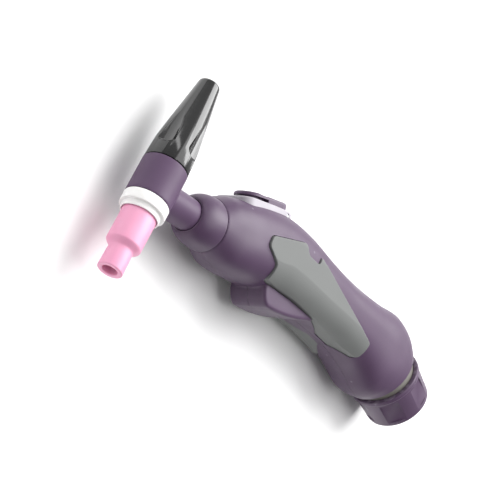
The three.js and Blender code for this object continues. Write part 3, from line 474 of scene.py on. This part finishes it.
# Polished phenolic: deep black with a hard clear gloss, hairline wiping marks and a few dull patches.
phenolic, tree, shader, where = finish("polished black phenolic")
haze = add(tree, "ShaderNodeTexNoise", {"Vector": where, "Scale": 1 / 0.008, "Detail": 4.0})
ink = add(tree, "ShaderNodeMix", {"Factor": haze.outputs["Fac"], "A": linear("#070708"),
                                  "B": linear("#0e0e10")}, data_type="RGBA")
tree.links.new(ink.outputs["Result"], shader.inputs["Base Color"])
stretch = add(tree, "ShaderNodeMapping", {"Vector": where, "Scale": (1.0, 14.0, 1.0)})
hairline = add(tree, "ShaderNodeTexNoise", {"Vector": stretch.outputs["Vector"],
                                            "Scale": 1 / 0.003, "Detail": 3.0})
gloss = add(tree, "ShaderNodeMapRange", {"Value": hairline.outputs["Fac"], "From Min": 0.3,
                                         "From Max": 0.8, "To Min": 0.1, "To Max": 0.2})
tree.links.new(gloss.outputs["Result"], shader.inputs["Roughness"])
bump = add(tree, "ShaderNodeBump", {"Height": haze.outputs["Fac"], "Strength": 0.05,
                                    "Distance": 0.0001})
tree.links.new(bump.outputs["Normal"], shader.inputs["Normal"])
shader.inputs["IOR"].default_value = 1.6
shader.inputs["Coat Weight"].default_value = 0.3
shader.inputs["Coat Roughness"].default_value = 0.05
piece("back_cap_polished", cap, "cap", phenolic, ["back_cap"], crease=50)

# ---- Handle skin and nose collar -----------------------------------------------------------------------
# The handle is two glass-filled nylon mouldings that meet in the torch's middle plane, held by three
# screws from the left. A separate tapered collar closes it round the neck.

HANDLE_FRONT = 34.8  # from the head axis to the seam behind the nose collar
HANDLE_LENGTH = 145.6
HALF_WIDTH = 15.9  # out of the middle plane
# share of the length, centre above, half height across the middle plane, half width as a share
STATIONS = [(HANDLE_FRONT + HANDLE_LENGTH * share, y, tall, HALF_WIDTH * wide) for share, y, tall, wide in (
    (0, 16.2, 11.3, 0.71), (0.039, 18.7, 13.7, 0.8), (0.096, 21.7, 15.4, 0.91), (0.187, 27.7, 16.4, 1),
    (0.269, 32.7, 16.6, 1), (0.367, 35.9, 16.5, 1), (0.475, 38.3, 15.4, 1), (0.582, 41.0, 14.5, 1),
    (0.692, 43.8, 15.0, 1), (0.802, 46.1, 17.2, 1.005), (0.891, 47.4, 20.4, 1.025),
    (0.955, 47.8, 20.2, 1.025), (1, 47.5, 17.8, 0.995))]
NOSE_TILT = math.radians(24.3)
REAR_TILT = math.radians(-6.7)
SQUARENESS = 2.6  # exponent of the section, 2 is an ellipse
WALL = 2.6
HOLLOW = (0.05, 0.93)  # shares of the length that are hollow
GRIP_PROUD = 1.0
GRIP_DEPTH = 1.1
GRIP_FLAT = HALF_WIDTH + 0.7  # the flat that the torch lies on
GRIP_ROUND = 1.3  # of the outline's corners


def through(points, share):
    """A point of the centripetal curve through a row of points."""
    last = len(points) - 1
    place = min(share, 1) * last
    step = min(int(place), last - 1)
    b, c = points[step], points[step + 1]
    a = points[step - 1] if step else 2 * b - c
    d = points[step + 2] if step + 2 <= last else 2 * c - b
    ab, bc, cd = (math.sqrt((q - p).length) for p, q in ((a, b), (b, c), (c, d)))
    start = ((b - a) / ab - (c - a) / (ab + bc) + (c - b) / bc) * bc
    end = ((c - b) / bc - (d - b) / (bc + cd) + (d - c) / cd) * bc
    w = place - step
    return (b + start * w + (3 * (c - b) - 2 * start - end) * w ** 2
            + (2 * (b - c) + start + end) * w ** 3)


def hoop(made, centre, tilt, tall, wide, power=1.0):
    """One closed ring of a skin, square to the handle. Returns its edges."""
    ring = bmesh.ops.create_circle(made, segments=96, radius=1)["verts"]
    for vert in ring:
        across, up = vert.co.x, vert.co.y
        rise = tall * math.copysign(abs(up) ** power, up)
        vert.co = (centre[0] - rise * math.sin(tilt), centre[1] + rise * math.cos(tilt),
                   wide * math.copysign(abs(across) ** power, across))
    return list({edge for vert in ring for edge in vert.link_edges})


def skinned(made, hoops):
    """Bridges a row of rings and caps the ends."""
    for near, far in zip(hoops, hoops[1:]):
        bmesh.ops.bridge_loops(made, edges=near + far)
    bmesh.ops.contextual_create(made, geom=hoops[0])
    bmesh.ops.contextual_create(made, geom=hoops[-1])
    bmesh.ops.recalc_face_normals(made, faces=made.faces)
    return made


SPINE = [Vector((x, y, 0)) for x, y, _, _ in STATIONS]
GIRTH = [Vector((x, tall, wide)) for x, _, tall, wide in STATIONS]


def handle_form(offset=0, start=0, end=1, count=90):
    """The handle's outline solid, grown or shrunk by an offset."""
    made = bmesh.new()
    hoops = []
    for number in range(count + 1):
        share = start + (end - start) * number / count
        centre = through(SPINE, share)
        _, tall, wide = through(GIRTH, share)
        ahead = through(SPINE, min(1, share + 0.001)) - through(SPINE, max(0, share - 0.001))
        tilt = math.atan2(ahead.y, ahead.x)
        front = max(0, 1 - share * 8)
        rear = max(0, 1 - (1 - share) * 6)
        tilt += (NOSE_TILT - tilt) * front
        tilt += (REAR_TILT - tilt) * rear
        power = 2 / (SQUARENESS + (2 - SQUARENESS) * max(front, rear))
        hoops.append(hoop(made, centre, tilt, tall + offset, wide + offset, power))
    return skinned(made, hoops)


def outline(start, moves, count=8):
    """Points of a flat outline: straight moves to (x, y), curved ones by (control x, y, end x, y)."""
    points = [Vector(start)]
    for move in moves:
        if len(move) == 2:
            points.append(Vector(move))
            continue
        begin, control, end = points[-1], Vector(move[:2]), Vector(move[2:])
        for number in range(1, count + 1):
            w = number / count
            points.append(begin * (1 - w) ** 2 + control * 2 * w * (1 - w) + end * w ** 2)
    return points


def slab(points, low, high):
    """A flat outline drawn out along Z."""
    made = bmesh.new()
    face = made.faces.new([made.verts.new((x, y, low)) for x, y in points])
    grown = bmesh.ops.extrude_face_region(made, geom=[face])["geom"]
    top = [item for item in grown if isinstance(item, bmesh.types.BMVert)]
    bmesh.ops.translate(made, vec=(0, 0, high - low), verts=top)
    bmesh.ops.recalc_face_normals(made, faces=made.faces)
    return made


# Finger stop: a blunt blade under the front of the grip.
STOP = Vector((80.5, 9.8))  # its tip
STOP_HALF_WIDTH = 9.4
STOP_ROUND = 1.2
stop_outline = outline((STOP.x - 9, STOP.y + 18), [
    (STOP.x - 6.5, STOP.y + 5), (STOP.x - 3.5, STOP.y, STOP.x, STOP.y), (STOP.x + 4, STOP.y + 1.2),
    (STOP.x + 18, STOP.y + 6, STOP.x + 32, STOP.y + 16.5), (STOP.x + 26, 34)])
stop = soften(slab(stop_outline, -STOP_HALF_WIDTH, STOP_HALF_WIDTH), STOP_ROUND, 3, above=60)
body = worked(handle_form(), [stop], "UNION", voxel=0.48, rounds=3)


def on_handle(share, rise):
    """A point of the middle plane: the share of the handle's length, and the height above its spine."""
    x = HANDLE_FRONT + share * HANDLE_LENGTH
    (x0, y0), (x1, y1) = next((near[:2], far[:2]) for near, far in zip(STATIONS, STATIONS[1:])
                              if far[0] >= x - 1e-6)
    return Vector((x, y0 + (y1 - y0) * (x - x0) / (x1 - x0) + rise))


GRIP_CORNERS = [on_handle(share, rise) for share, rise in (
    (0.148, 3.5), (0.291, 7.5), (0.32, 3.5), (0.38, 3.2), (0.38, 7.1), (0.753, -7.1), (0.765, -14.5),
    (0.523, -14.1), (0.389, -14.9), (0.235, -15.1), (0.218, -8), (0.152, -1.3))]


def grip_prism(margin, low=2, high=30):
    """The grip's outline grown by a margin, with rounded corners, drawn out along Z."""
    made = slab(GRIP_CORNERS, low, high)
    uprights = [edge for edge in made.edges if abs(edge.verts[0].co.z - edge.verts[1].co.z) > 1]
    bmesh.ops.bevel(made, geom=uprights, offset=GRIP_ROUND, segments=5, profile=0.5, affect="EDGES",
                    clamp_overlap=True)
    made.normal_update()
    shifts = {}
    for vert in made.verts:
        walls = [face.normal for face in vert.link_faces if abs(face.normal.z) < 0.5]
        total = sum(walls, Vector())
        shifts[vert] = total * (margin / max(0.2, total.dot(walls[0])))
    for vert, shift in shifts.items():
        vert.co += shift
    return made


def block_from(height, side=1):
    """Everything past a height out of the middle plane, on one side of it."""
    made = bmesh.new()
    bmesh.ops.create_cube(made, size=400)
    bmesh.ops.translate(made, vec=(100, 30, side * (200 + height)), verts=made.verts)
    return made


def left_of(made):
    """The same body on the other side of the middle plane."""
    other = made.copy()
    bmesh.ops.scale(other, vec=(1, 1, -1), verts=other.verts)
    bmesh.ops.reverse_faces(other, faces=other.faces)
    return other


# Deck of the switch, tilted with the handle's top: local X along it and local Y out of it.
DECK = Matrix.Translation((*on_handle(0.175, 16.5), 0)) @ Matrix.Rotation(math.radians(26.5), 4, "Z")
DECK_FRONT = -21.7
DECK_SHOULDER = -8  # where it starts to narrow
DECK_REAR = 17
DECK_SIDE = 9.5  # half width
DECK_CORNER = 5
DECK_DEPTH = 8
DECK_PROUD = 2.2


def stadium(length, width, low, high, shift=0, segments=48):
    """A bar with half-round ends, lying along X and standing from low to high along Y."""
    made = bmesh.new()
    radius = width / 2
    ring = bmesh.ops.create_circle(made, cap_ends=True, segments=segments, radius=radius,
                                   matrix=Matrix.Rotation(math.pi / 2, 4, "X"))["verts"]
    for vert in ring:
        vert.co.x += math.copysign(length / 2 - radius, vert.co.x) + shift
        vert.co.y = low
    grown = bmesh.ops.extrude_face_region(made, geom=made.faces[:])["geom"]
    top = [item for item in grown if isinstance(item, bmesh.types.BMVert)]
    bmesh.ops.translate(made, vec=(0, high - low, 0), verts=top)
    bmesh.ops.recalc_face_normals(made, faces=made.faces)
    return made


def deck_block(margin, low, high):
    """The deck's plan grown by a margin: square to the front, narrowing to the rear."""
    plan = []
    power = 2 / SQUARENESS
    taper = DECK_REAR - DECK_SHOULDER + margin
    for number in range(49):
        turn = (number / 48 - 0.5) * math.pi
        plan.append((DECK_SHOULDER + taper * max(0, math.cos(turn)) ** power,
                     (DECK_SIDE + margin) * math.copysign(abs(math.sin(turn)) ** power, turn)))
    for side in (1, -1):
        for number in range(13):
            turn = math.pi / 2 * (1 + (number if side > 0 else 12 - number) / 12)
            plan.append((DECK_FRONT + DECK_CORNER + (DECK_CORNER + margin) * math.cos(turn),
                         side * (DECK_SIDE - DECK_CORNER + (DECK_CORNER + margin) * math.sin(turn))))
    made = slab([Vector(point) for point in plan], -high, -low)
    bmesh.ops.rotate(made, cent=(0, 0, 0), matrix=Matrix.Rotation(math.pi / 2, 3, "X"),
                     verts=made.verts)
    return made


def on_deck(made):
    """Lays a mesh on the switch deck."""
    bmesh.ops.transform(made, matrix=DECK, verts=made.verts)
    return made


KNUCKLE_OFFSET = 1.4  # pivot behind the last station
KNUCKLE = (Vector(STATIONS[-1][:2])
           + KNUCKLE_OFFSET * Vector((math.cos(REAR_TILT), math.sin(REAR_TILT))))
REAR = axis_at(KNUCKLE.x, KNUCKLE.y, REAR_TILT)
BALL_RADIUS = 14.6
BALL_BORE = 8.6
BALL_POCKET = BALL_RADIUS + CLEARANCE


def ball_zone(radius, low, high, bore=0, steps=96, count=14):
    """A zone of a ball about the rear axis, with a hole through it if it has a bore."""
    arc = []
    for number in range(count + 1):
        height = low + (high - low) * number / count
        arc.append((math.sqrt(max(0, radius ** 2 - height ** 2)), height))
    ends = [(bore, high), (bore, low)]
    return turned(arc + ends, steps, REAR, closed=True) if bore else turned(
        [(0, low)] + arc + [(0, high)], steps, REAR, closed=False)


SCREWS = [on_handle(*place) for place in ((0.0975, -9.6), (0.53, 10.1), (0.832, -11.9))]
SCREW_RADIUS = 1.55
SCREW_HEAD_RADIUS = 2.7
SCREW_SEAT = 8.6  # from the middle plane
POST_RADIUS = 3.6
NOSE_INNER = NECK_RADIUS + CLEARANCE
NOSE_SPIGOT = NOSE_INNER + 2.2
NOSE_SEAM = HANDLE_FRONT / math.cos(NECK_TILT)
HOLE_START = 20  # the bores along the neck start ahead of the handle
TUBE_END = 62


def across(made, x, y):
    """Lays a mesh made along Y across the handle, its +Y towards the left side."""
    laid = Matrix.Translation((x, y, 0)) @ Matrix.Rotation(-math.pi / 2, 4, "X")
    bmesh.ops.transform(made, matrix=laid, verts=made.verts)
    return made


bosses = [across(rod(POST_RADIUS, -18, 18, 32), x, y) for x, y in SCREWS]
hollow = worked(handle_form(-WALL, *HOLLOW, 60), bosses)
seat = worked(grip_prism(CLEARANCE), [handle_form(-GRIP_DEPTH - CLEARANCE)])
cuts = [
    hollow, left_of(seat), seat,
    on_deck(deck_block(0.25, -DECK_DEPTH - CLEARANCE, 12)),
    rod(NOSE_SPIGOT + CLEARANCE, HOLE_START, NOSE_SEAM + 9, 64, NECK),
    rod(NOSE_INNER, HOLE_START, NECK_LENGTH + CLEARANCE, 64, NECK),
    rod(TUBE_SPACE, HOLE_START, TUBE_END, 32, NECK),
    ball_zone(BALL_POCKET, -BALL_RADIUS - 0.2, BALL_RADIUS + 0.2),
    rod(BALL_BORE, -16, 0, 64, REAR),
]
for x, y in SCREWS:
    cuts.append(across(rod(SCREW_RADIUS, -9.5, SCREW_SEAT + 1, 24), x, y))
    cuts.append(across(rod(SCREW_HEAD_RADIUS, SCREW_SEAT, 30, 32), x, y))
body = worked(body, cuts)

# Glass-filled nylon: deep purple, a fine spark-eroded grain, satin, slightly paler where hands rub it.
nylon = moulded("moulded purple nylon", "#513a57", "#46304c", 0.0005, 0.47, 1.53, lift=0.00004)
HALF_LINE = 0.08  # each half stops this far from the middle plane
for side, name in ((1, "right"), (-1, "left")):
    half = worked(body.copy(), [block_from(HALF_LINE, side)], "INTERSECT")
    piece(f"handle_half_{name}", half, "handle", nylon, [f"handle_shell_{name}"],
          crease=35, triangles=True)
body.free()

# Nose collar: rings along the neck that swell and tilt from its thin front edge to the seam.
NOSE_START = 23.9  # along the neck
NOSE_FRONT_RADIUS = 7.4
front = NECK @ Vector((0, NOSE_START, 0))
seam_x, seam_y, seam_radius, _ = STATIONS[0]
seam = Vector((seam_x - CLEARANCE * math.cos(NOSE_TILT), seam_y - CLEARANCE * math.sin(NOSE_TILT), 0))
collar = bmesh.new()
hoops = []
# it leaves the neck steeply, like the shoulder of a bottle, and meets the seam almost level
profile = []
for number in range(21):
    share = (number / 20) ** 1.6
    swell = (1 - (1 - share) ** 2.6) ** 0.75
    profile.append((share, NOSE_FRONT_RADIUS + (seam_radius - NOSE_FRONT_RADIUS) * swell))
profile[-1] = (0.985, seam_radius)
profile.append((1, seam_radius - 0.22))
for share, radius in profile:
    centre = front.lerp(seam, share)
    tilt = NECK_TILT + (NOSE_TILT - NECK_TILT) * share
    hoops.append(hoop(collar, centre, tilt, radius, radius))
skinned(collar, hoops)
spigot = rod(NOSE_SPIGOT, NOSE_SEAM - 6, NOSE_SEAM + 5, 64, NECK)
collar = worked(worked(collar, [spigot], "UNION"), [rod(NOSE_INNER, 0, NOSE_SEAM + 15, 96, NECK)])
piece("nose_collar_moulded", collar, "handle", nylon, ["nose_collar"], crease=35,
      triangles=True)

# ---- Side grips ----------------------------------------------------------------------------------------
# A soft grey insert on each side of the handle, moulded in thermoplastic rubber and glued in its
# recess. A shallow groove follows its front and lower edges. The outermost part is flat.

grip_rubber = moulded("matt grey grip rubber", "#737574", "#6a6c6b", 0.00045, 0.62, 1.5,
                      lift=0.00005, depth=0.35, cloud=0.02)
GROOVE_INSET = 0.9
GROOVE_WIDTH = 0.6
GROOVE_DEPTH = 0.8
grip = worked(grip_prism(0), [handle_form(GRIP_PROUD)], "INTERSECT")
grip = worked(grip, [handle_form(-GRIP_DEPTH), block_from(GRIP_FLAT)])
# the groove follows the front and lower edges only: a slab over the rest keeps it off there
groove = worked(grip_prism(-GROOVE_INSET, 1, 31), [grip_prism(-GROOVE_INSET - GROOVE_WIDTH, 0, 32)])
upper = ((62.5, 34), (70, 25.5), (92, 28), (150, 36.5), (150, 60), (62.5, 60))
keep_off = slab([Vector(point) for point in upper], 0, 40)
groove = worked(groove, [keep_off, handle_form(GRIP_PROUD - GROOVE_DEPTH)])
grip = worked(grip, [groove], voxel=0.25, rounds=1)
for name, made in (("left", left_of(grip)), ("right", grip)):
    piece(f"grip_insert_{name}", made, "handle", grip_rubber, [f"grip_panel_{name}"],
          crease=40, triangles=True)

# ---- Switch --------------------------------------------------------------------------------------------
# The module on top of the handle: a light grey housing that drops into the handle, and a long purple
# rocker on a cross pin. Its front end stands clear as a finger rest.

BUTTON_LENGTH = 29
BUTTON_WIDTH = 12.6
BUTTON_TOP = DECK_PROUD + 3.4
BUTTON_FOOT = DECK_PROUD - 3.2
BUTTON_FRONT = DECK_FRONT + 5.8
BUTTON_MIDDLE = BUTTON_FRONT + BUTTON_LENGTH / 2
BUTTON_WALL = 1.8
LIP_THICKNESS = 1.5
LIP_REACH = 2.4
LIP_LENGTH = 12
THUMB_RADIUS = 16
THUMB_DIP = 0.4
THUMB_ALONG = BUTTON_FRONT + 9
WELL_FLOOR = -DECK_DEPTH + 1.6
PIN_RADIUS = 1.3
PIN_BOSS = 2.4
PIN_PLACE = (BUTTON_FRONT + BUTTON_LENGTH - 4.5, DECK_PROUD - 2.25)
MICRO_ALONG = BUTTON_FRONT + 13.2
LEADS_SLOT = (7, 6.4, 3.4)


def cross_rod(radius, half_length, along, up, steps):
    """A bar across the deck at a place on it."""
    laid = Matrix.Translation((along, up, 0)) @ Matrix.Rotation(math.pi / 2, 4, "X")
    return rod(radius, -half_length, half_length, steps, laid)


grey_abs = moulded("moulded pale grey ABS", "#b3aeb6", "#a7a2aa", 0.0005, 0.45, 1.54)
deck = soften(deck_block(0, -DECK_DEPTH, DECK_PROUD), 0.7, 4, above=60)
well = stadium(BUTTON_LENGTH + 2 * CLEARANCE, BUTTON_WIDTH + 2 * CLEARANCE, WELL_FLOOR, DECK_PROUD + 1,
               BUTTON_MIDDLE)
leads = bmesh.new()
bmesh.ops.create_cube(leads, size=1)
bmesh.ops.scale(leads, vec=LEADS_SLOT, verts=leads.verts)
bmesh.ops.translate(leads, vec=(MICRO_ALONG, -DECK_DEPTH, 0), verts=leads.verts)
deck = on_deck(worked(deck, [well, leads, cross_rod(PIN_RADIUS, DECK_SIDE, *PIN_PLACE, 24)]))
piece("switch_housing", deck, "handle", grey_abs, ["switch_base"], crease=35,
      triangles=True)

button = stadium(BUTTON_LENGTH, BUTTON_WIDTH, BUTTON_FOOT, BUTTON_TOP, BUTTON_MIDDLE, 96)
soften(button, 1.1, 6, above=60)
thumb = cross_rod(THUMB_RADIUS, 12, THUMB_ALONG, BUTTON_TOP - THUMB_DIP + THUMB_RADIUS, 240)
inside = stadium(BUTTON_LENGTH - 2 * BUTTON_WALL, BUTTON_WIDTH - 2 * BUTTON_WALL, BUTTON_FOOT - 1,
                 BUTTON_FOOT + 1.5, BUTTON_MIDDLE)
# the front end is undercut all round and leaves a thin lip for the finger
band = stadium(BUTTON_LENGTH + 2, BUTTON_WIDTH + 2, DECK_PROUD + 0.2, BUTTON_TOP - LIP_THICKNESS,
               BUTTON_MIDDLE)
core = stadium(BUTTON_LENGTH - 2 * LIP_REACH, BUTTON_WIDTH - 2 * LIP_REACH, 0, 9, BUTTON_MIDDLE)
behind = bmesh.new()
bmesh.ops.create_cube(behind, size=40)
bmesh.ops.translate(behind, vec=(BUTTON_FRONT + LIP_LENGTH + 20, 0, 0), verts=behind.verts)
undercut = worked(worked(band, [core]), [behind])
button = worked(button, [thumb, inside, undercut])
button = worked(button, [cross_rod(PIN_BOSS, BUTTON_WIDTH * 0.29, *PIN_PLACE, 32)], "UNION")
button = on_deck(worked(button, [cross_rod(PIN_RADIUS, BUTTON_WIDTH, *PIN_PLACE, 32)]))
piece("switch_rocker", button, "button", nylon, ["switch_button"], crease=35,
      triangles=True)

# ---- Rear knuckle and cable collar ---------------------------------------------------------------------
# The cable leaves through a ball joint: a grey acetal ring with a ball-shaped outside sits in the back
# of the handle, and a purple screw collar with finger recesses swivels on it. A rubber sleeve lines it.

BALL_HALF = 9.5
acetal = moulded("turned grey acetal", "#7d7a75", "#6c6964", 0.0006, 0.4, 1.48, cloud=0.01)
piece("knuckle_ring", soften(ball_zone(BALL_RADIUS, -BALL_HALF, BALL_HALF, BALL_BORE), 0.4, 3),
      "knuckle", acetal, ["knuckle_ball"], crease=50)

COLLAR_START = 2.7
COLLAR_LENGTH = 17.5
COLLAR_FRONT_RADIUS = 16.5
COLLAR_REAR_RADIUS = 15.0
COLLAR_LIP = 2.2
COLLAR_BORE = 8.0
COLLAR_GRIPS = 6
RECESS = (2, COLLAR_LENGTH - COLLAR_LIP - 3.4, 9)  # outwards, along and around
collar_end = COLLAR_START + COLLAR_LENGTH
lip_end = COLLAR_START + COLLAR_LIP
ring = soften(turned([
    (0, COLLAR_START), (COLLAR_FRONT_RADIUS, COLLAR_START),
    (COLLAR_FRONT_RADIUS, lip_end), (COLLAR_FRONT_RADIUS - 0.55, lip_end + 0.4),
    (COLLAR_REAR_RADIUS, collar_end), (0, collar_end)], 120, closed=False), 0.35, 3)
recesses = []
for number in range(COLLAR_GRIPS):
    recess = bmesh.new()
    bmesh.ops.create_cube(recess, size=1)
    bmesh.ops.scale(recess, vec=RECESS, verts=recess.verts)
    bmesh.ops.translate(recess, vec=(COLLAR_REAR_RADIUS + 0.6, lip_end + 1.4 + RECESS[1] / 2, 0),
                        verts=recess.verts)
    soften(recess, 0.3, 3)
    bmesh.ops.rotate(recess, cent=(0, 0, 0), verts=recess.verts,
                     matrix=Matrix.Rotation((number + 0.5) * math.tau / COLLAR_GRIPS, 3, "Y"))
    recesses.append(recess)
ring = worked(ring, recesses)
bmesh.ops.transform(ring, matrix=REAR, verts=ring.verts)
ring = worked(ring, [ball_zone(BALL_POCKET, -BALL_RADIUS - 0.2, BALL_RADIUS + 0.2),
                     rod(COLLAR_BORE, 0, collar_end + 1, 64, REAR)])
piece("cable_collar", ring, "collar", nylon, ["rear_collar"], crease=35, triangles=True)

SLEEVE_BORE = 5.6
SLEEVE_FLANGE = 1.4
rubber = moulded("moulded black rubber", "#1a1a1b", "#121213", 0.0005, 0.68, 1.52, depth=0.4)
sleeve_radius = COLLAR_BORE - CLEARANCE
flange_radius = COLLAR_BORE + 1.2
sleeve_start = BALL_HALF + 3.2
flange_at = collar_end + CLEARANCE
sleeve = soften(turned([
    (SLEEVE_BORE, sleeve_start), (sleeve_radius, sleeve_start), (sleeve_radius, flange_at),
    (flange_radius, flange_at), (flange_radius, flange_at + SLEEVE_FLANGE),
    (SLEEVE_BORE, flange_at + SLEEVE_FLANGE)], 72, REAR), 0.3, 3)
piece("cable_sleeve_moulded", sleeve, "collar", rubber, ["cable_sleeve"], crease=50)

# ---- Handle screws -------------------------------------------------------------------------------------
# Three pan-head thread-forming screws hold the halves together. Zinc-plated steel, driven from the left
# side into bosses of the right half.

# Zinc plate over steel: bright, slightly blue, with faint passivation clouds and turned rings.
zinc, tree, shader, where = finish("zinc-plated steel")
blot = add(tree, "ShaderNodeTexNoise", {"Vector": where, "Scale": 1 / 0.0015, "Detail": 4.0})
plate = add(tree, "ShaderNodeMix", {"Factor": blot.outputs["Fac"], "A": linear("#a9adb2"),
                                    "B": linear("#c3c4c2")}, data_type="RGBA")
tree.links.new(plate.outputs["Result"], shader.inputs["Base Color"])
rough = add(tree, "ShaderNodeMapRange", {"Value": blot.outputs["Fac"], "To Min": 0.22, "To Max": 0.42})
tree.links.new(rough.outputs["Result"], shader.inputs["Roughness"])
shader.inputs["Metallic"].default_value = 1.0

SCREW_TIP = -8.5
SCREW_HEAD_HEIGHT = 1.9
shank, head_radius = SCREW_RADIUS - CLEARANCE, SCREW_HEAD_RADIUS - CLEARANCE
crown = SCREW_SEAT + CLEARANCE
screw_top = crown + SCREW_HEAD_HEIGHT
for number, (x, y) in enumerate(SCREWS, 1):
    screw = soften(turned([
        (0, SCREW_TIP), (0.9, SCREW_TIP), (shank, SCREW_TIP + 1.3), (shank, crown), (head_radius, crown),
        (head_radius, crown + 1.1), (1.6, screw_top), (0, screw_top)], 48, closed=False), 0.2, 3)
    blades = []
    for turn in (0, math.pi / 2):
        blade = bmesh.new()
        bmesh.ops.create_cube(blade, size=1)
        bmesh.ops.scale(blade, vec=(0.6, 2, 2.8), verts=blade.verts)
        bmesh.ops.rotate(blade, cent=(0, 0, 0), matrix=Matrix.Rotation(turn, 3, "Y"), verts=blade.verts)
        bmesh.ops.translate(blade, vec=(0, screw_top, 0), verts=blade.verts)
        blades.append(blade)
    screw = across(worked(screw, blades), x, y)
    piece(f"handle_screw_{number}_plated", screw, "handle", zinc, [f"handle_screw_{number}"],
          crease=35, triangles=True)

# ---- Parts inside --------------------------------------------------------------------------------------
# Brass head, collet body and adaptors, copper neck tube and collet, the tungsten electrode, the switch's
# pin, spring and microswitch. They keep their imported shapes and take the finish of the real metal.


def metal(name, light, dark, smooth, dull, ring_pitch, grain):
    """A machined or drawn metal: fine tool rings along the torch, slight tarnish, no paint."""
    made, tree, shader, where = finish(name)
    tarnish = add(tree, "ShaderNodeTexNoise", {"Vector": where, "Scale": 1 / grain, "Detail": 4.0})
    tone = add(tree, "ShaderNodeMix", {"Factor": tarnish.outputs["Fac"], "A": linear(dark),
                                       "B": linear(light)}, data_type="RGBA")
    tree.links.new(tone.outputs["Result"], shader.inputs["Base Color"])
    rings = add(tree, "ShaderNodeTexWave", {"Vector": where, "Scale": 1 / ring_pitch,
                                            "Distortion": 1.5}, wave_type="BANDS",
                bands_direction="DIAGONAL")
    bump = add(tree, "ShaderNodeBump", {"Height": rings.outputs["Fac"], "Strength": 0.2,
                                        "Distance": 0.00002})
    tree.links.new(bump.outputs["Normal"], shader.inputs["Normal"])
    rough = add(tree, "ShaderNodeMapRange", {"Value": tarnish.outputs["Fac"], "To Min": smooth,
                                             "To Max": dull})
    tree.links.new(rough.outputs["Result"], shader.inputs["Roughness"])
    shader.inputs["Metallic"].default_value = 1.0
    return made


brass = metal("turned brass", "#d3b272", "#b08a44", 0.2, 0.4, 0.003, 0.004)
copper = metal("drawn copper", "#cf8a66", "#a96444", 0.2, 0.42, 0.004, 0.005)
tungsten = metal("ground tungsten", "#a5a8ab", "#85888c", 0.25, 0.45, 0.002, 0.002)
black_pbt = moulded("moulded black PBT", "#242425", "#19191a", 0.0005, 0.5, 1.55)
red_pbt = moulded("moulded red PBT", "#96352f", "#842b27", 0.0005, 0.45, 1.55)
INSIDE = {
    "torch_head_core": brass, "collet_body": brass, "back_cap_thread": brass, "power_adaptor": brass,
    "hose_barb": brass, "neck_tube": copper, "collet": copper, "tungsten_electrode": tungsten,
    "switch_hinge_pin": zinc, "switch_spring": zinc, "back_cap_o_ring": rubber,
    "microswitch_body": black_pbt, "microswitch_plunger": red_pbt,
}
for name, look in INSIDE.items():
    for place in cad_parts[name].material_slots:
        place.material = look
